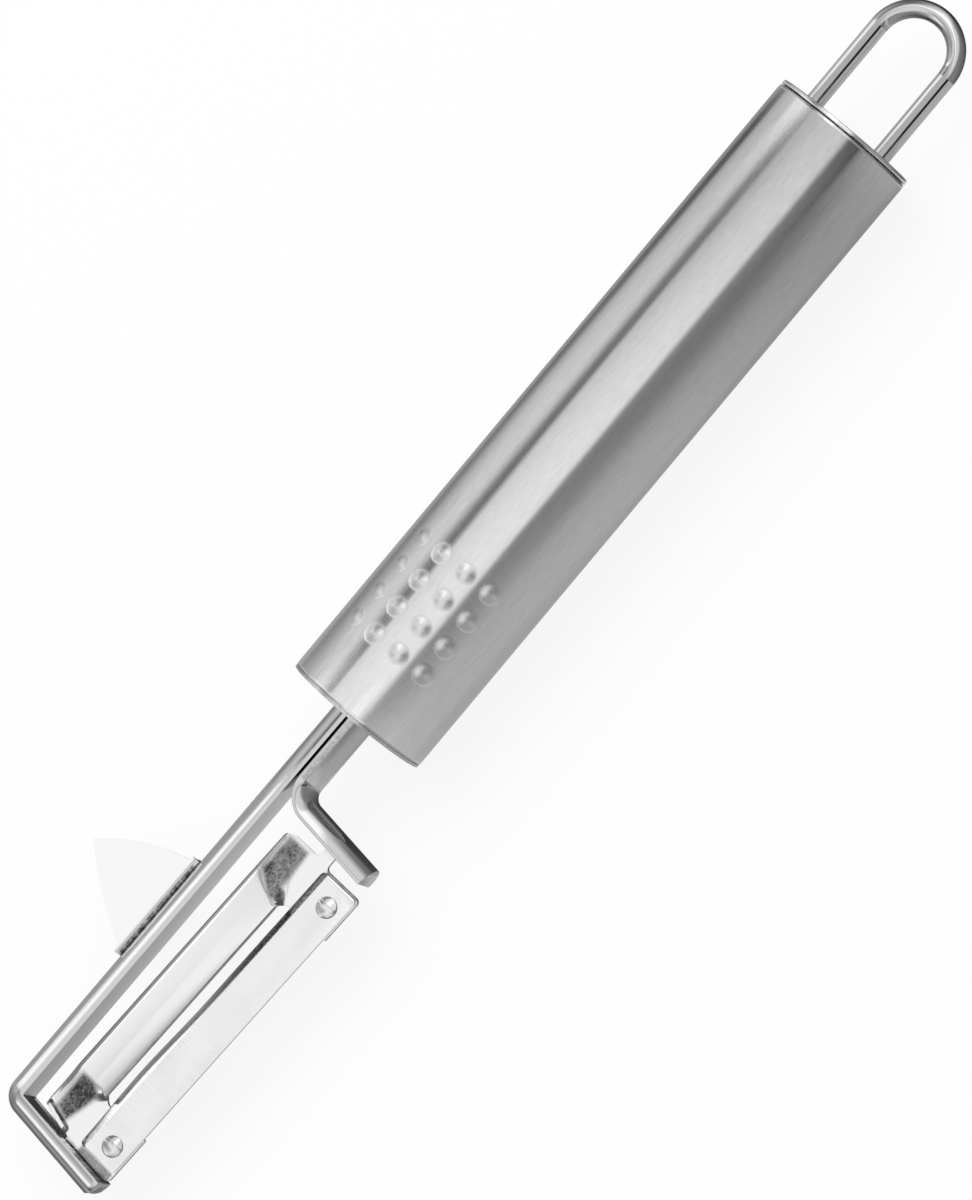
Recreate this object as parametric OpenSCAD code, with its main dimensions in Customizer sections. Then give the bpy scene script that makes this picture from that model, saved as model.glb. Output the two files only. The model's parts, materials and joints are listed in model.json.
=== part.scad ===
// Swivel vegetable peeler: a round tube handle with a wire hanging loop, a bow of
// half-round wire folded back on itself, a stamped blade carrier that turns in the bow,
// a riveted blade strip and a welded eye cutter.
// Millimetres. +X runs from the handle to the blade, +Y to the blade's side and +Z to
// the side of the grip nubs. The origin is the centre of the handle.

/* [Handle] */
// Length of the handle over both end caps
handle_len = 105; // [92:1:116]
// Outside diameter of the handle tube
handle_d = 22; // [20:0.5:25]
// Wall of the handle tube
tube_wall = 0.5; // [0.4:0.05:0.7]
// Rim thickness of the front end cap
front_cap_t = 0.4; // [0.3:0.05:0.8]
// Rim thickness of the rear end cap
rear_cap_t = 0.65; // [0.4:0.05:1]
// Depth of the skirt of each cap inside the tube
cap_skirt = 3; // [2:0.25:4]
// Wall of the skirt of each cap
cap_wall = 0.5; // [0.4:0.05:0.7]
// Open seam between each cap's rim and the end of the tube
seam = 0.12; // [0.05:0.01:0.2]
// Step of the cap's rim inside the tube's outer surface
cap_inset = 0.06; // [0.02:0.01:0.15]

/* [Grip nubs] */
// Diameter of a grip nub
nub_d = 2.4; // [1.6:0.1:3]
// Height of a grip nub above the tube
nub_h = 0.22; // [0.1:0.01:0.22]
// First nub from the front end of the handle
nub_first = 11.15; // [8:0.05:15]
// Pitch of the nubs along the handle
nub_pitch = 4.75; // [3.5:0.05:6]
// Nubs in one row along the handle
nub_count = 4; // [2:1:6]
// Rows of nubs round the handle
nub_rows = 4; // [2:1:6]
// Angle from one row to the next
nub_row_turn = 23.5; // [18:0.5:30]
// Turn of the middle of the nub field from the top line
nub_field_turn = -2.5; // [-6:0.5:6]

/* [Plugs inside the handle] */
// Solid stock of the front plug behind the folded end of the bow
front_plug_back = 4; // [2:0.5:8]
// Solid stock of the rear plug past the ends of the loop's legs
rear_plug_back = 4; // [2:0.5:8]
// Radial clearance of each plug, cap skirt and held wire
hold_fit = 0.04; // [0.02:0.01:0.08]

/* [Hanging loop] */
// Diameter of the loop's wire
loop_wire_d = 2.7; // [2.2:0.1:3]
// Centre distance of the loop's two legs
loop_spacing = 12.2; // [10:0.1:14]
// Shift of the loop from the handle's axis, towards the blade's side
loop_shift = 0.1; // [0:0.05:0.6]
// Reach of the loop past the handle
loop_reach = 21.5; // [18:0.5:28]
// Length of each leg inside the handle
loop_hold = 12; // [8:0.5:16]

/* [Bow of half-round wire] */
// Width of the half-round wire across its flat, twice its thickness
wire_w = 6; // [5.4:0.1:6.6]
// Gap between the flats of the two legs in the shank
leg_gap = 0.4; // [0.3:0.05:0.6]
// Depth of the shank inside the handle, to the centre of its fold
shank_in = 24; // [18:1:32]
// Depth inside the handle at which the shank crosses the handle's axis
shank_cross = 15; // [8:1:17]
// Turn of the bow from the handle's axis in its own plane
bow_lean = -0.6; // [-1:0.05:0]
// From the handle to the short arm's flat, on the pivot axis
heel_reach = 16.3; // [15.5:0.05:21]
// Radius of the short arm's bend at its flat
heel_bend_r = 5.1; // [4.4:0.1:5.6]
// Radius of the long arm's tip bend at its flat
tip_bend_r = 0.3; // [0.2:0.05:0.6]
// Forward slant of both arms from a square across the bow
arm_slant = 6.2; // [5:0.1:7.5]
// Length of the short arm past the pivot axis
heel_arm_past = 6.2; // [4:0.1:8]
// Length of the tip arm past the pivot axis
tip_arm_past = 7.4; // [4:0.1:9]
// Rounding of the arms' free ends in plan
arm_end_r = 0.9; // [0.5:0.1:1.2]

/* [Swivel pivot] */
// Distance of the pivot axis from the handle's axis at the short arm
pivot_offset = 9.8; // [9.4:0.05:11]
// Turn of the pivot axis from the handle's axis
pivot_lean = -2; // [-2.4:0.1:-1.4]
// Diameter over the rounded edges of each pivot tongue
tongue_d = 2.2; // [1.8:0.1:2.6]
// Radial running clearance of the tongue in its hole
tongue_fit = 0.05; // [0.03:0.01:0.09]
// How far each tongue stops short of the back of its arm
tongue_short = 0.35; // [0.2:0.05:0.8]
// Visible neck between the short arm and the carrier
neck_len = 1.8; // [1.2:0.1:2.4]
// Play between the carrier's tip end and the tip arm
tip_play = 0.5; // [0.35:0.05:0.8]

/* [Blade carrier] */
// Thickness of the carrier's sheet
sheet_t = 0.8; // [0.6:0.05:1]
// Distance between the two rivets
rivet_pitch = 44.5; // [38:0.5:50]
// Carrier past the heel rivet, at the guard side
heel_margin = 4.25; // [4.2:0.05:6]
// Carrier past the heel rivet, at the blade side
heel_margin_blade = 3.7; // [3:0.05:4.1]
// Carrier past the tip rivet
tip_margin = 3.5; // [3:0.05:4.5]
// From each rivet to the end of the slot
slot_margin = 3.6; // [3.3:0.05:4]
// Guard side of the carrier from the pivot axis
guard_out = 6.55; // [6.2:0.05:7]
// Blade side of the carrier from the pivot axis
blade_out = 7.65; // [7.2:0.05:8]
// Inner edge of the guard rail from the pivot axis
rail_edge = 0.45; // [0.3:0.05:0.8]
// Lift of the guard rail's inner edge over the pads
rail_lift = 1.4; // [1:0.1:1.8]
// Length of the formed step from pad to guard rail
step_len = 5.6; // [4:0.1:5.8]
// Slant of the tip end's guard half, which clears the slanted arm
end_slant = 10; // [9:0.5:14]
// Height of the upturned lip at the tip end
lip_h = 1.3; // [0.8:0.1:1.8]
// Length of the upturned lip
lip_len = 3.6; // [2:0.1:4]
// Corner radius of the carrier
carrier_corner_r = 0.8; // [0.4:0.1:1.2]

/* [Blade strip] */
// Thickness of the blade strip
strip_t = 0.6; // [0.4:0.05:0.8]
// Width of the blade strip
strip_w = 6.55; // [6:0.05:6.8]
// Step of the strip inside the carrier's blade side
strip_inset = 0.15; // [0:0.05:0.3]
// Strip past the heel rivet
strip_margin_heel = 3.55; // [3:0.05:3.7]
// Strip past the tip rivet
strip_margin_tip = 2.85; // [2.4:0.05:3.4]
// Width of the ground bevel
bevel_w = 0.85; // [0.5:0.05:1.1]
// Thickness left at the cutting edge
edge_t = 0.06; // [0.04:0.01:0.1]
// Corner radius of the strip
strip_corner_r = 0.6; // [0.3:0.1:1]

/* [Rivets] */
// Diameter of the domed rivet head
rivet_head_d = 3.1; // [2.6:0.1:3.6]
// Height of the domed rivet head
rivet_head_h = 0.7; // [0.5:0.05:0.9]
// Diameter of the rivet's shank
rivet_d = 1.8; // [1.5:0.1:2.2]
// Diameter of the set tail
rivet_tail_d = 2.7; // [2.4:0.1:3.2]
// Height of the set tail
rivet_tail_h = 0.4; // [0.3:0.05:0.6]
// Radial clearance of the rivet in its holes
rivet_fit = 0.02; // [0.01:0.01:0.05]
// From the pivot axis to the rivets
rivet_out = 4.9; // [4.6:0.05:5.1]

/* [Eye cutter] */
// Thickness of the eye cutter's sheet
cutter_t = 0.7; // [0.5:0.05:0.9]
// From the handle to the eye cutter's base
cutter_start = 29.95; // [25:0.25:33]
// Width of the fin at its base
cutter_base = 16.3; // [14:0.1:18]
// Height of the fin over the arm's back
cutter_h = 13.7; // [11:0.1:16]
// Place of the tip along the base
cutter_tip_share = 0.437; // [0.35:0.01:0.6]
// Radius of the fin's edge on the handle's side
cutter_rear_r = 25; // [20:1:40]
// Radius of the fin's edge on the tip side
cutter_front_r = 64; // [40:1:90]
// Foot past the fin at each end
cutter_foot_past = 0.4; // [0.2:0.1:1]
// Inner radius of the bend between fin and foot
cutter_bend_r = 0.4; // [0.3:0.05:0.6]
// Top of the fin over the middle of the bow
cutter_top = 1.4; // [1.2:0.05:1.6]
// Foot below the middle of the bow
cutter_foot_drop = 1.6; // [1:0.1:2.2]

/* [Hidden] */
$fn = 64;
// Overrun of every cut past the surface that it opens
over = 1;
// Thickness of the slices that the formed steps are drawn between
slice = 0.02;
// Lap of a formed step into the pad beside it
lap = 0.08;
// Points on each rounded corner of a plan outline
corner_steps = 6;
// Lap of each straight stretch of the bow into its bend
bend_lap = 0.02;
// How much thinner the half-round wire is, all round, in its bends
bend_thinning = 0.01;
// Shares of the guard rail's lift along a formed step, from the rail to the pad
step_shares = [1, 0.8, 0.2, 0];
// Share of the neck that flares into the carrier, and of the play at the tip
flare_share = 0.5;
// Start of the upturned lip, as a share of its length
lip_start_share = 0.4;

// Handle, worked out
handle_r = handle_d / 2;
bore_r = handle_r - tube_wall;
front_x = handle_len / 2;
rear_x = -handle_len / 2;
cap_r = handle_r - cap_inset;
skirt_r = bore_r - hold_fit;
skirt_in_r = skirt_r - cap_wall;
// A nub is a cap of this sphere, whose centre lies under the tube's surface
nub_r = (pow(nub_d / 2, 2) + pow(nub_h, 2)) / (2 * nub_h);
nub_centre = handle_r + nub_h - nub_r;

// Bow, worked out in its own frame, whose origin is where the shank crosses the axis
wire_r = wire_w / 2;
shank_r = wire_r + leg_gap / 2;
bow_x = front_x - shank_cross;
turn = 90 - arm_slant;
fold_x = shank_cross - shank_in;

// Pivot, worked out
tongue_r = tongue_d / 2;
tongue_hole_r = tongue_r + tongue_fit;
tongue_half = sqrt(pow(tongue_r, 2) - pow(sheet_t / 2, 2));
heel_end = rivet_pitch / 2 + heel_margin;
heel_end_blade = rivet_pitch / 2 + heel_margin_blade;
tip_end = rivet_pitch / 2 + tip_margin;
heel_flat = heel_end + neck_len;
tip_flat = tip_end + tip_play;
heel_point = [front_x + heel_reach, pivot_offset];
pivot_dir = [cos(pivot_lean), sin(pivot_lean)];
pivot_point = heel_point + heel_flat * pivot_dir;
tip_point = pivot_point + tip_flat * pivot_dir;
heel_b = in_bow(heel_point);
tip_b = in_bow(tip_point);
// Corners where the flats of the arms would meet the flats of the legs
heel_corner_x = heel_b[0] - (heel_b[1] - leg_gap / 2) * tan(arm_slant);
tip_corner_x = tip_b[0] - (tip_b[1] + leg_gap / 2) * tan(arm_slant);
heel_bend_x = heel_corner_x - heel_bend_r * tan(turn / 2);
tip_bend_x = tip_corner_x - tip_bend_r * tan(turn / 2);
// Straight lengths of the arms, from the end of each bend
heel_arm_len = (heel_b[1] - leg_gap / 2) / cos(arm_slant) - heel_bend_r * tan(turn / 2)
    + heel_arm_past;
tip_arm_len = (tip_b[1] + leg_gap / 2) / cos(arm_slant) - tip_bend_r * tan(turn / 2)
    + tip_arm_past;

// Carrier, worked out
slot_end = rivet_pitch / 2 - slot_margin;
step_end = slot_end + step_len;
end_drop = (guard_out - tongue_half) * tan(end_slant);
strip_heel = -rivet_pitch / 2 - strip_margin_heel;
strip_tip = rivet_pitch / 2 + strip_margin_tip;
strip_out = blade_out - strip_inset;
strip_in = strip_out - strip_w;
strip_z = sheet_t / 2;
strip_top = strip_z + strip_t;
rivet_head_r = (pow(rivet_head_d / 2, 2) + pow(rivet_head_h, 2)) / (2 * rivet_head_h);

// Eye cutter, worked out in the bow's frame
cutter_x = shank_cross + cutter_start;
cutter_y = -leg_gap / 2 - wire_r;
cutter_bend_out = cutter_bend_r + cutter_t;
cutter_tip = [cutter_base * cutter_tip_share, cutter_h];

// A point of the part, seen in the bow's frame
function in_bow(p) = [
    (p[0] - bow_x) * cos(bow_lean) + p[1] * sin(bow_lean),
    -(p[0] - bow_x) * sin(bow_lean) + p[1] * cos(bow_lean)];

// Unit vector from a to b
function toward(a, b) = (b - a) / norm(b - a);

// Centre of the circle of radius r through a and b, on the right of the way from a to b
function arc_centre(a, b, r) =
    let (d = toward(a, b), half = norm(b - a) / 2)
    (a + b) / 2 + sqrt(r * r - half * half) * [d[1], -d[0]];

// Points of one corner b between a and c, rounded with radius r
function corner(a, b, c, r) =
    r == 0 ? [b] :
    let (
        da = toward(b, a),
        dc = toward(b, c),
        half = acos(da * dc) / 2,
        m = b + (da + dc) / norm(da + dc) * r / sin(half),
        start = b + da * r / tan(half) - m,
        swing = (180 - 2 * half) * (da[0] * dc[1] - da[1] * dc[0] > 0 ? -1 : 1))
    [for (i = [0 : corner_steps])
        let (t = swing * i / corner_steps)
        m + [start[0] * cos(t) - start[1] * sin(t), start[0] * sin(t) + start[1] * cos(t)]];

// A closed outline of rows [x, y, corner radius]
function rounded(rows) =
    let (n = len(rows))
    [for (i = [0 : n - 1])
        let (a = rows[(i + n - 1) % n], b = rows[i], c = rows[(i + 1) % n])
        each corner([a[0], a[1]], [b[0], b[1]], [c[0], c[1]], b[2])];

// Extrudes a drawing along X: its x runs along Y and its y along Z
module along_x(length) {
    rotate([90, 0, 90]) linear_extrude(length) children();
}

// A cylinder along X from x0 to x1
module rod(x0, x1, r) {
    translate([x0, 0, 0]) rotate([0, 90, 0]) cylinder(h = x1 - x0, r = r);
}

module bow_frame() {
    translate([bow_x, 0, 0]) rotate([0, 0, bow_lean]) children();
}

module blade_frame() {
    translate([pivot_point[0], pivot_point[1], 0]) rotate([0, 0, pivot_lean]) children();
}

// One ball of the given radius under each grip nub, grown or shrunk from the nub's own
module nub_balls(r) {
    for (row = [0 : nub_rows - 1], i = [0 : nub_count - 1])
        rotate([-(nub_row_turn * (row - (nub_rows - 1) / 2) + nub_field_turn), 0, 0])
            translate([front_x - nub_first - nub_pitch * i, 0, nub_centre])
                sphere(r = r);
}

// Brushed tube with embossed nubs, dimpled from the inside as a pressed sheet is
module handle_tube() {
    x0 = rear_x + rear_cap_t + seam;
    x1 = front_x - front_cap_t - seam;
    color("silver") difference() {
        union() {
            rod(x0, x1, handle_r);
            nub_balls(nub_r);
        }
        rod(x0 - over, x1 + over, bore_r);
        nub_balls(nub_r - tube_wall);
    }
}

// Pressed end cap along +X: its rim ends at x = 0 and its skirt reaches back into the tube
module end_cap(rim_t) {
    difference() {
        union() {
            rod(-rim_t, 0, cap_r);
            rod(-rim_t - cap_skirt, -rim_t, skirt_r);
        }
        rod(-rim_t - cap_skirt - over, -rim_t, skirt_in_r);
    }
}

module front_cap() {
    color("gainsboro") difference() {
        translate([front_x, 0, 0]) end_cap(front_cap_t);
        bow_frame() rod(0, shank_cross + over, shank_r + hold_fit);
    }
}

module rear_cap() {
    color("gainsboro") difference() {
        translate([rear_x, 0, 0]) mirror([1, 0, 0]) end_cap(rear_cap_t);
        loop_holes();
    }
}

// Plug along +X: its boss fills the cap's skirt and its body fills the tube
module plug(rim_t, length) {
    rod(-rim_t - cap_skirt, -rim_t, skirt_in_r - hold_fit);
    rod(-length, -rim_t - cap_skirt, skirt_r);
}

module front_plug() {
    length = shank_in + shank_r + front_plug_back;
    color("dimgray") difference() {
        translate([front_x, 0, 0]) plug(front_cap_t, length);
        bow_frame() {
            rod(fold_x, shank_cross + over, shank_r + hold_fit);
            translate([fold_x, 0, 0]) sphere(r = shank_r + hold_fit);
        }
    }
}

module rear_plug() {
    color("dimgray") difference() {
        translate([rear_x, 0, 0]) mirror([1, 0, 0]) plug(rear_cap_t, loop_hold + rear_plug_back);
        loop_holes();
    }
}

// Blind holes for the loop's legs, opened past the rear end
module loop_holes() {
    for (side = [-1, 1])
        translate([rear_x, loop_shift + side * loop_spacing / 2, 0])
            rod(-over, loop_hold + hold_fit, loop_wire_d / 2 + hold_fit);
}

// Round wire bent to a U, its bend a half ring and its legs held in the rear plug
module hanging_loop() {
    bend_x = rear_x - loop_reach + loop_wire_d / 2 + loop_spacing / 2;
    color("lightgray") {
        for (side = [-1, 1])
            translate([0, loop_shift + side * loop_spacing / 2, 0])
                rod(bend_x, rear_x + loop_hold, loop_wire_d / 2);
        translate([bend_x, loop_shift, 0]) rotate([0, 0, 90]) rotate_extrude(angle = 180)
            translate([loop_spacing / 2, 0]) circle(d = loop_wire_d);
    }
}

// Section of the half-round wire: its flat stands on the y axis and side is where it bulges
module half_round(side, inset = 0) {
    intersection() {
        circle(r = wire_r - inset);
        translate([side * inset + (side - 1) / 2 * (wire_r + over), -wire_r - over])
            square([wire_r + over, 2 * (wire_r + over)]);
    }
}

// A straight stretch of the wire along X, lapped into the bends at both of its ends
module bow_leg(x0, x1, side) {
    translate([x0 - bend_lap, side * leg_gap / 2, 0])
        along_x(x1 - x0 + 2 * bend_lap) half_round(side);
}

// A bend of the wire from its start on the -Y side, its flat on the given radius
module bow_bend(radius, angle, side) {
    rotate([0, 0, -90]) rotate_extrude(angle = angle)
        translate([radius, 0]) half_round(side, bend_thinning);
}

// An arm of the bow along X with its flat on the y = 0 plane and its free end rounded in plan
module bow_arm(length, side) {
    intersection() {
        translate([-bend_lap, 0, 0]) along_x(length + bend_lap) half_round(side);
        translate([0, 0, -wire_r - over]) linear_extrude(2 * (wire_r + over))
            polygon(rounded([
                [-over, -side * over, 0],
                [length, -side * over, 0],
                [length, side * wire_r, arm_end_r],
                [-over, side * wire_r, 0]]));
    }
}

// The whole bow, one half-round wire, with the two pivot holes drilled through its arms
module frame_bow() {
    color("lightgray") difference() {
        bow_frame() {
            // Fold inside the handle
            translate([fold_x, 0, 0]) rotate([0, 0, 180]) bow_bend(leg_gap / 2, 180, 1);
            // Long leg and tip arm
            bow_leg(fold_x, tip_bend_x, -1);
            translate([tip_bend_x, tip_bend_r - leg_gap / 2, 0]) {
                bow_bend(tip_bend_r, turn, 1);
                rotate([0, 0, turn]) translate([0, -tip_bend_r, 0]) bow_arm(tip_arm_len, -1);
            }
            // Short leg and short arm
            bow_leg(fold_x, heel_bend_x, 1);
            translate([heel_bend_x, heel_bend_r + leg_gap / 2, 0]) {
                bow_bend(heel_bend_r, turn, -1);
                rotate([0, 0, turn]) translate([0, -heel_bend_r, 0]) bow_arm(heel_arm_len, 1);
            }
        }
        blade_frame() {
            rod(-heel_flat - wire_r - over, -heel_flat + over, tongue_hole_r);
            rod(tip_flat - over, tip_flat + wire_r + over, tongue_hole_r);
        }
    }
}

// Pointed fin in plan, its base on the x axis
module fin() {
    intersection() {
        translate(arc_centre([0, 0], cutter_tip, cutter_rear_r)) circle(r = cutter_rear_r);
        translate(arc_centre(cutter_tip, [cutter_base, 0], cutter_front_r)) circle(r = cutter_front_r);
        translate([0, cutter_bend_out]) square([cutter_base, cutter_h - cutter_bend_out]);
    }
}

// Section of the foot and its bend, against the arm's back at x = 0
module foot_section() {
    bend_z = cutter_top - cutter_bend_out;
    translate([-cutter_t, -cutter_foot_drop]) square([cutter_t, cutter_foot_drop + bend_z]);
    translate([-cutter_bend_out, bend_z]) intersection() {
        difference() {
            circle(r = cutter_bend_out);
            circle(r = cutter_bend_r);
        }
        square(cutter_bend_out);
    }
}

module eye_cutter() {
    color("whitesmoke") bow_frame() translate([cutter_x, cutter_y, 0]) {
        translate([0, 0, cutter_top - cutter_t]) linear_extrude(cutter_t) mirror([0, 1, 0]) fin();
        translate([-cutter_foot_past, 0, 0])
            along_x(cutter_base + 2 * cutter_foot_past) foot_section();
    }
}

// Section of the guard rail at a share of its lift, out to the given inner edge
module rail_section(share, edge) {
    polygon([
        [-guard_out, -sheet_t / 2],
        [edge, rail_lift * share - sheet_t / 2],
        [edge, rail_lift * share + sheet_t / 2],
        [-guard_out, sheet_t / 2]]);
}

// Formed step from the lifted rail down to the flat pad, along +X
module formed_step() {
    n = len(step_shares) - 1;
    for (i = [0 : n - 1]) hull() for (j = [i, i + 1])
        translate([slot_end + step_len * j / n - (j == 0 ? 0 : slice), 0, 0])
            along_x(slice) rail_section(step_shares[j], -rail_edge + lap);
}

// Plan of the heel pad: guard corner, blade corner and the flare of the neck
module heel_pad_plan() {
    r = carrier_corner_r;
    polygon(rounded([
        [-heel_end, -guard_out, r],
        [-step_end + slice, -guard_out, 0],
        [-step_end + slice, -rail_edge, 0],
        [-slot_end, -rail_edge, 0],
        [-slot_end, blade_out, r],
        [-heel_end_blade, blade_out, r],
        [-heel_end_blade, tongue_half, neck_len * flare_share],
        [-heel_end - neck_len * flare_share, tongue_half, 0],
        [-heel_end - neck_len * flare_share, -tongue_half, 0],
        [-heel_end, -tongue_half, neck_len * flare_share]]));
}

// Plan of the tip pad, its guard half slanted along the arm
module tip_pad_plan() {
    r = carrier_corner_r;
    polygon(rounded([
        [slot_end, -rail_edge, 0],
        [step_end - slice, -rail_edge, 0],
        [step_end - slice, -guard_out, 0],
        [tip_end - end_drop, -guard_out, 0],
        [tip_end, -tongue_half, 0],
        [tip_end + tip_play * flare_share, -tongue_half, 0],
        [tip_end + tip_play * flare_share, tongue_half, 0],
        [tip_end, tongue_half, 0],
        [tip_end, blade_out, r],
        [slot_end, blade_out, r]]));
}

// Upturned lip along the slanted end, just inside its edge
module end_lip() {
    translate([tip_end, -tongue_half, 0]) rotate([0, 0, -end_slant])
        translate([-sheet_t, -lip_len * (1 + lip_start_share), -sheet_t / 2])
            cube([sheet_t, lip_len, sheet_t + lip_h]);
}

// Pivot tongue along +X: the sheet itself, its edges coined to a true cylinder
module tongue(x0, x1) {
    intersection() {
        rod(x0, x1, tongue_r);
        translate([x0, -tongue_d, -sheet_t / 2]) cube([x1 - x0, 2 * tongue_d, sheet_t]);
    }
}

module rivet_holes() {
    for (side = [-1, 1])
        translate([side * rivet_pitch / 2, rivet_out, -sheet_t])
            cylinder(h = 2 * sheet_t + strip_t + over, r = rivet_d / 2 + rivet_fit);
}

// Stamped C of sheet: two pads, the lifted guard rail and the two pivot tongues
module blade_carrier() {
    color("gainsboro") blade_frame() difference() {
        union() {
            translate([0, 0, -sheet_t / 2]) linear_extrude(sheet_t) {
                heel_pad_plan();
                tip_pad_plan();
            }
            translate([-slot_end, 0, 0]) along_x(2 * slot_end) rail_section(1, -rail_edge);
            formed_step();
            mirror([1, 0, 0]) formed_step();
            end_lip();
            tongue(tip_end, tip_flat + wire_r - tongue_short);
            tongue(-heel_flat - wire_r + tongue_short, -heel_end);
        }
        rivet_holes();
    }
}

// Ground strip across the two pads, its cutting edge towards the guard rail
module blade_strip() {
    r = strip_corner_r;
    color("whitesmoke") blade_frame() difference() {
        intersection() {
            translate([strip_heel, 0, 0]) along_x(strip_tip - strip_heel) polygon([
                [strip_in, strip_z],
                [strip_out, strip_z],
                [strip_out, strip_top],
                [strip_in + bevel_w, strip_top],
                [strip_in, strip_z + edge_t]]);
            linear_extrude(strip_top + over) polygon(rounded([
                [strip_heel, strip_in, r],
                [strip_tip, strip_in, r],
                [strip_tip, strip_out, r],
                [strip_heel, strip_out, r]]));
        }
        rivet_holes();
    }
}

// Domed rivet through the strip and the pad, with its set tail under the pad
module rivet(side) {
    color("silver") blade_frame() translate([side * rivet_pitch / 2, rivet_out, 0]) {
        translate([0, 0, -sheet_t / 2]) cylinder(h = sheet_t + strip_t, r = rivet_d / 2);
        translate([0, 0, -sheet_t / 2 - rivet_tail_h]) cylinder(h = rivet_tail_h, d = rivet_tail_d);
        translate([0, 0, strip_top]) intersection() {
            translate([0, 0, rivet_head_h - rivet_head_r]) sphere(r = rivet_head_r);
            cylinder(h = rivet_head_h, d = rivet_head_d);
        }
    }
}

handle_tube();
front_cap();
rear_cap();
front_plug();
rear_plug();
hanging_loop();
frame_bow();
eye_cutter();
blade_carrier();
blade_strip();
rivet(-1);  // rivet_heel
rivet(1);  // rivet_tip
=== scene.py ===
# %% [markdown]
# # A swivel vegetable peeler, dressed around its CAD frame
# The CAD model is the frame: every node keeps its place, and this script gives each one its finish.
# Where the real piece has rounded edges or drawn metal that the plain solid lacks, a new piece is modelled
# over the node and stands for it. Sizes that the frame knows are asked from it, in millimetres.

# %% Load the frame
import json
import math

import bmesh
import bpy
from mathutils import Matrix, Vector


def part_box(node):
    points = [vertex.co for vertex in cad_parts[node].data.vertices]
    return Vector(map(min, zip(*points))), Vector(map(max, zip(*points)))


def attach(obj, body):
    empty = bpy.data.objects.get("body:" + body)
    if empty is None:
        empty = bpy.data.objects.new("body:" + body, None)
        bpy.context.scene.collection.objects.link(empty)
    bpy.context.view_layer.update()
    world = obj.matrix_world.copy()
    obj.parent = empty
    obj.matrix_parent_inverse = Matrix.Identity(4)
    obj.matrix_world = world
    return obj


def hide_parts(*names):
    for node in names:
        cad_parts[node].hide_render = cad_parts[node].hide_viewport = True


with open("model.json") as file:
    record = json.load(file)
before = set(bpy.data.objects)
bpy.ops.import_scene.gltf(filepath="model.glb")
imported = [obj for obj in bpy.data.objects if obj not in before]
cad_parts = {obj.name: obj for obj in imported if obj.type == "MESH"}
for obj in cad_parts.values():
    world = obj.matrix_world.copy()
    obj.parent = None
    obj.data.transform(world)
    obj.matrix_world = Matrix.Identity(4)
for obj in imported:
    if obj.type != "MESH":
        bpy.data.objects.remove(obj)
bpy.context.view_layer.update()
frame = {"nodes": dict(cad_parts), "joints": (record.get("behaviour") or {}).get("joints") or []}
nodes = frame["nodes"]
MM = 0.001


def box_mm(node):
    """A CAD node's lowest and highest corners, in millimetres."""
    return [Vector([round(v / MM, 3) for v in corner]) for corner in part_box(node)]


front_x, rear_x = box_mm("front_cap")[1].x, box_mm("rear_cap")[0].x
print("CAD nodes:", ", ".join(sorted(nodes)))
print("the handle goes from", rear_x, "to", front_x, "mm")

# %% [markdown]
# ## The camera
# The photograph looks down on the peeler, 15 degrees off its top line, from about 0.83 m. The handle runs
# from the upper right to the lower left. The lens is long, so that the tube hardly narrows. A camera could be
# placed by trial, but four measured numbers say it all: tilt, distance, aim and roll.

# %% The camera
VIEW_TILT = math.radians(15)
CAMERA_DISTANCE = 826 * MM
CAMERA_FOOT = -15.25 * MM
AIM_ALONG, AIM_ACROSS = 28.67 * MM, 3.42 * MM
ROLL = 0.69676
LENS_MM, SENSOR_MM = 179.96, 36.0
FAR_CLIP = 10

toward_camera = Vector((0, math.sin(VIEW_TILT), math.cos(VIEW_TILT)))
across_view = Vector((0, math.cos(VIEW_TILT), -math.sin(VIEW_TILT)))
along = Vector((1, 0, 0))


def look(place, aim, right):
    """The turn of a camera at place that looks at aim, with right as near the picture's right as it can be."""
    back = (place - aim).normalized()
    side = (right - back * right.dot(back)).normalized()
    return Matrix((side, back.cross(side), back)).transposed()


camera_place = along * CAMERA_FOOT + toward_camera * CAMERA_DISTANCE
camera_aim = along * AIM_ALONG + across_view * AIM_ACROSS
picture_right = across_view * math.cos(ROLL) - along * math.sin(ROLL)
turn = look(camera_place, camera_aim, picture_right)
bpy.ops.object.camera_add(location=camera_place, rotation=turn.to_euler())
camera = bpy.context.object
camera.name = "camera"
camera.data.sensor_fit = "VERTICAL"
camera.data.sensor_height = SENSOR_MM
camera.data.lens = LENS_MM
camera.data.clip_end = FAR_CLIP
bpy.context.scene.camera = camera
print("camera to aim:", round((camera_place - camera_aim).length, 4), "m")

# %% [markdown]
# ## Colours and nodes
# Colours are written as sRGB hex, as a paint program shows them, and Blender wants linear light, so one function
# turns them. One more adds a shader node with its settings and links, so that each material reads as a recipe.


# %% Colours and nodes
def linear(hex_colour):
    """sRGB hex to linear RGBA."""
    parts = [int(hex_colour[i:i + 2], 16) / 255 for i in (1, 3, 5)]
    return [p / 12.92 if p <= 0.04045 else ((p + 0.055) / 1.055) ** 2.4 for p in parts] + [1.0]


def feed(node, inputs):
    """Sets a node's inputs, each to a value or to the socket that feeds it."""
    for name, value in inputs.items():
        if isinstance(value, bpy.types.NodeSocket):
            node.id_data.links.new(value, node.inputs[name])
        else:
            node.inputs[name].default_value = value


def add(tree, kind, inputs=None, **settings):
    """Adds a node: settings are its properties, and inputs are what it is fed."""
    made = tree.nodes.new(kind)
    for name, value in settings.items():
        setattr(made, name, value)
    feed(made, inputs or {})
    return made


WHITE = linear("#ffffff")
print("mid grey in linear light:", round(linear("#808080")[0], 3))

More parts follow.
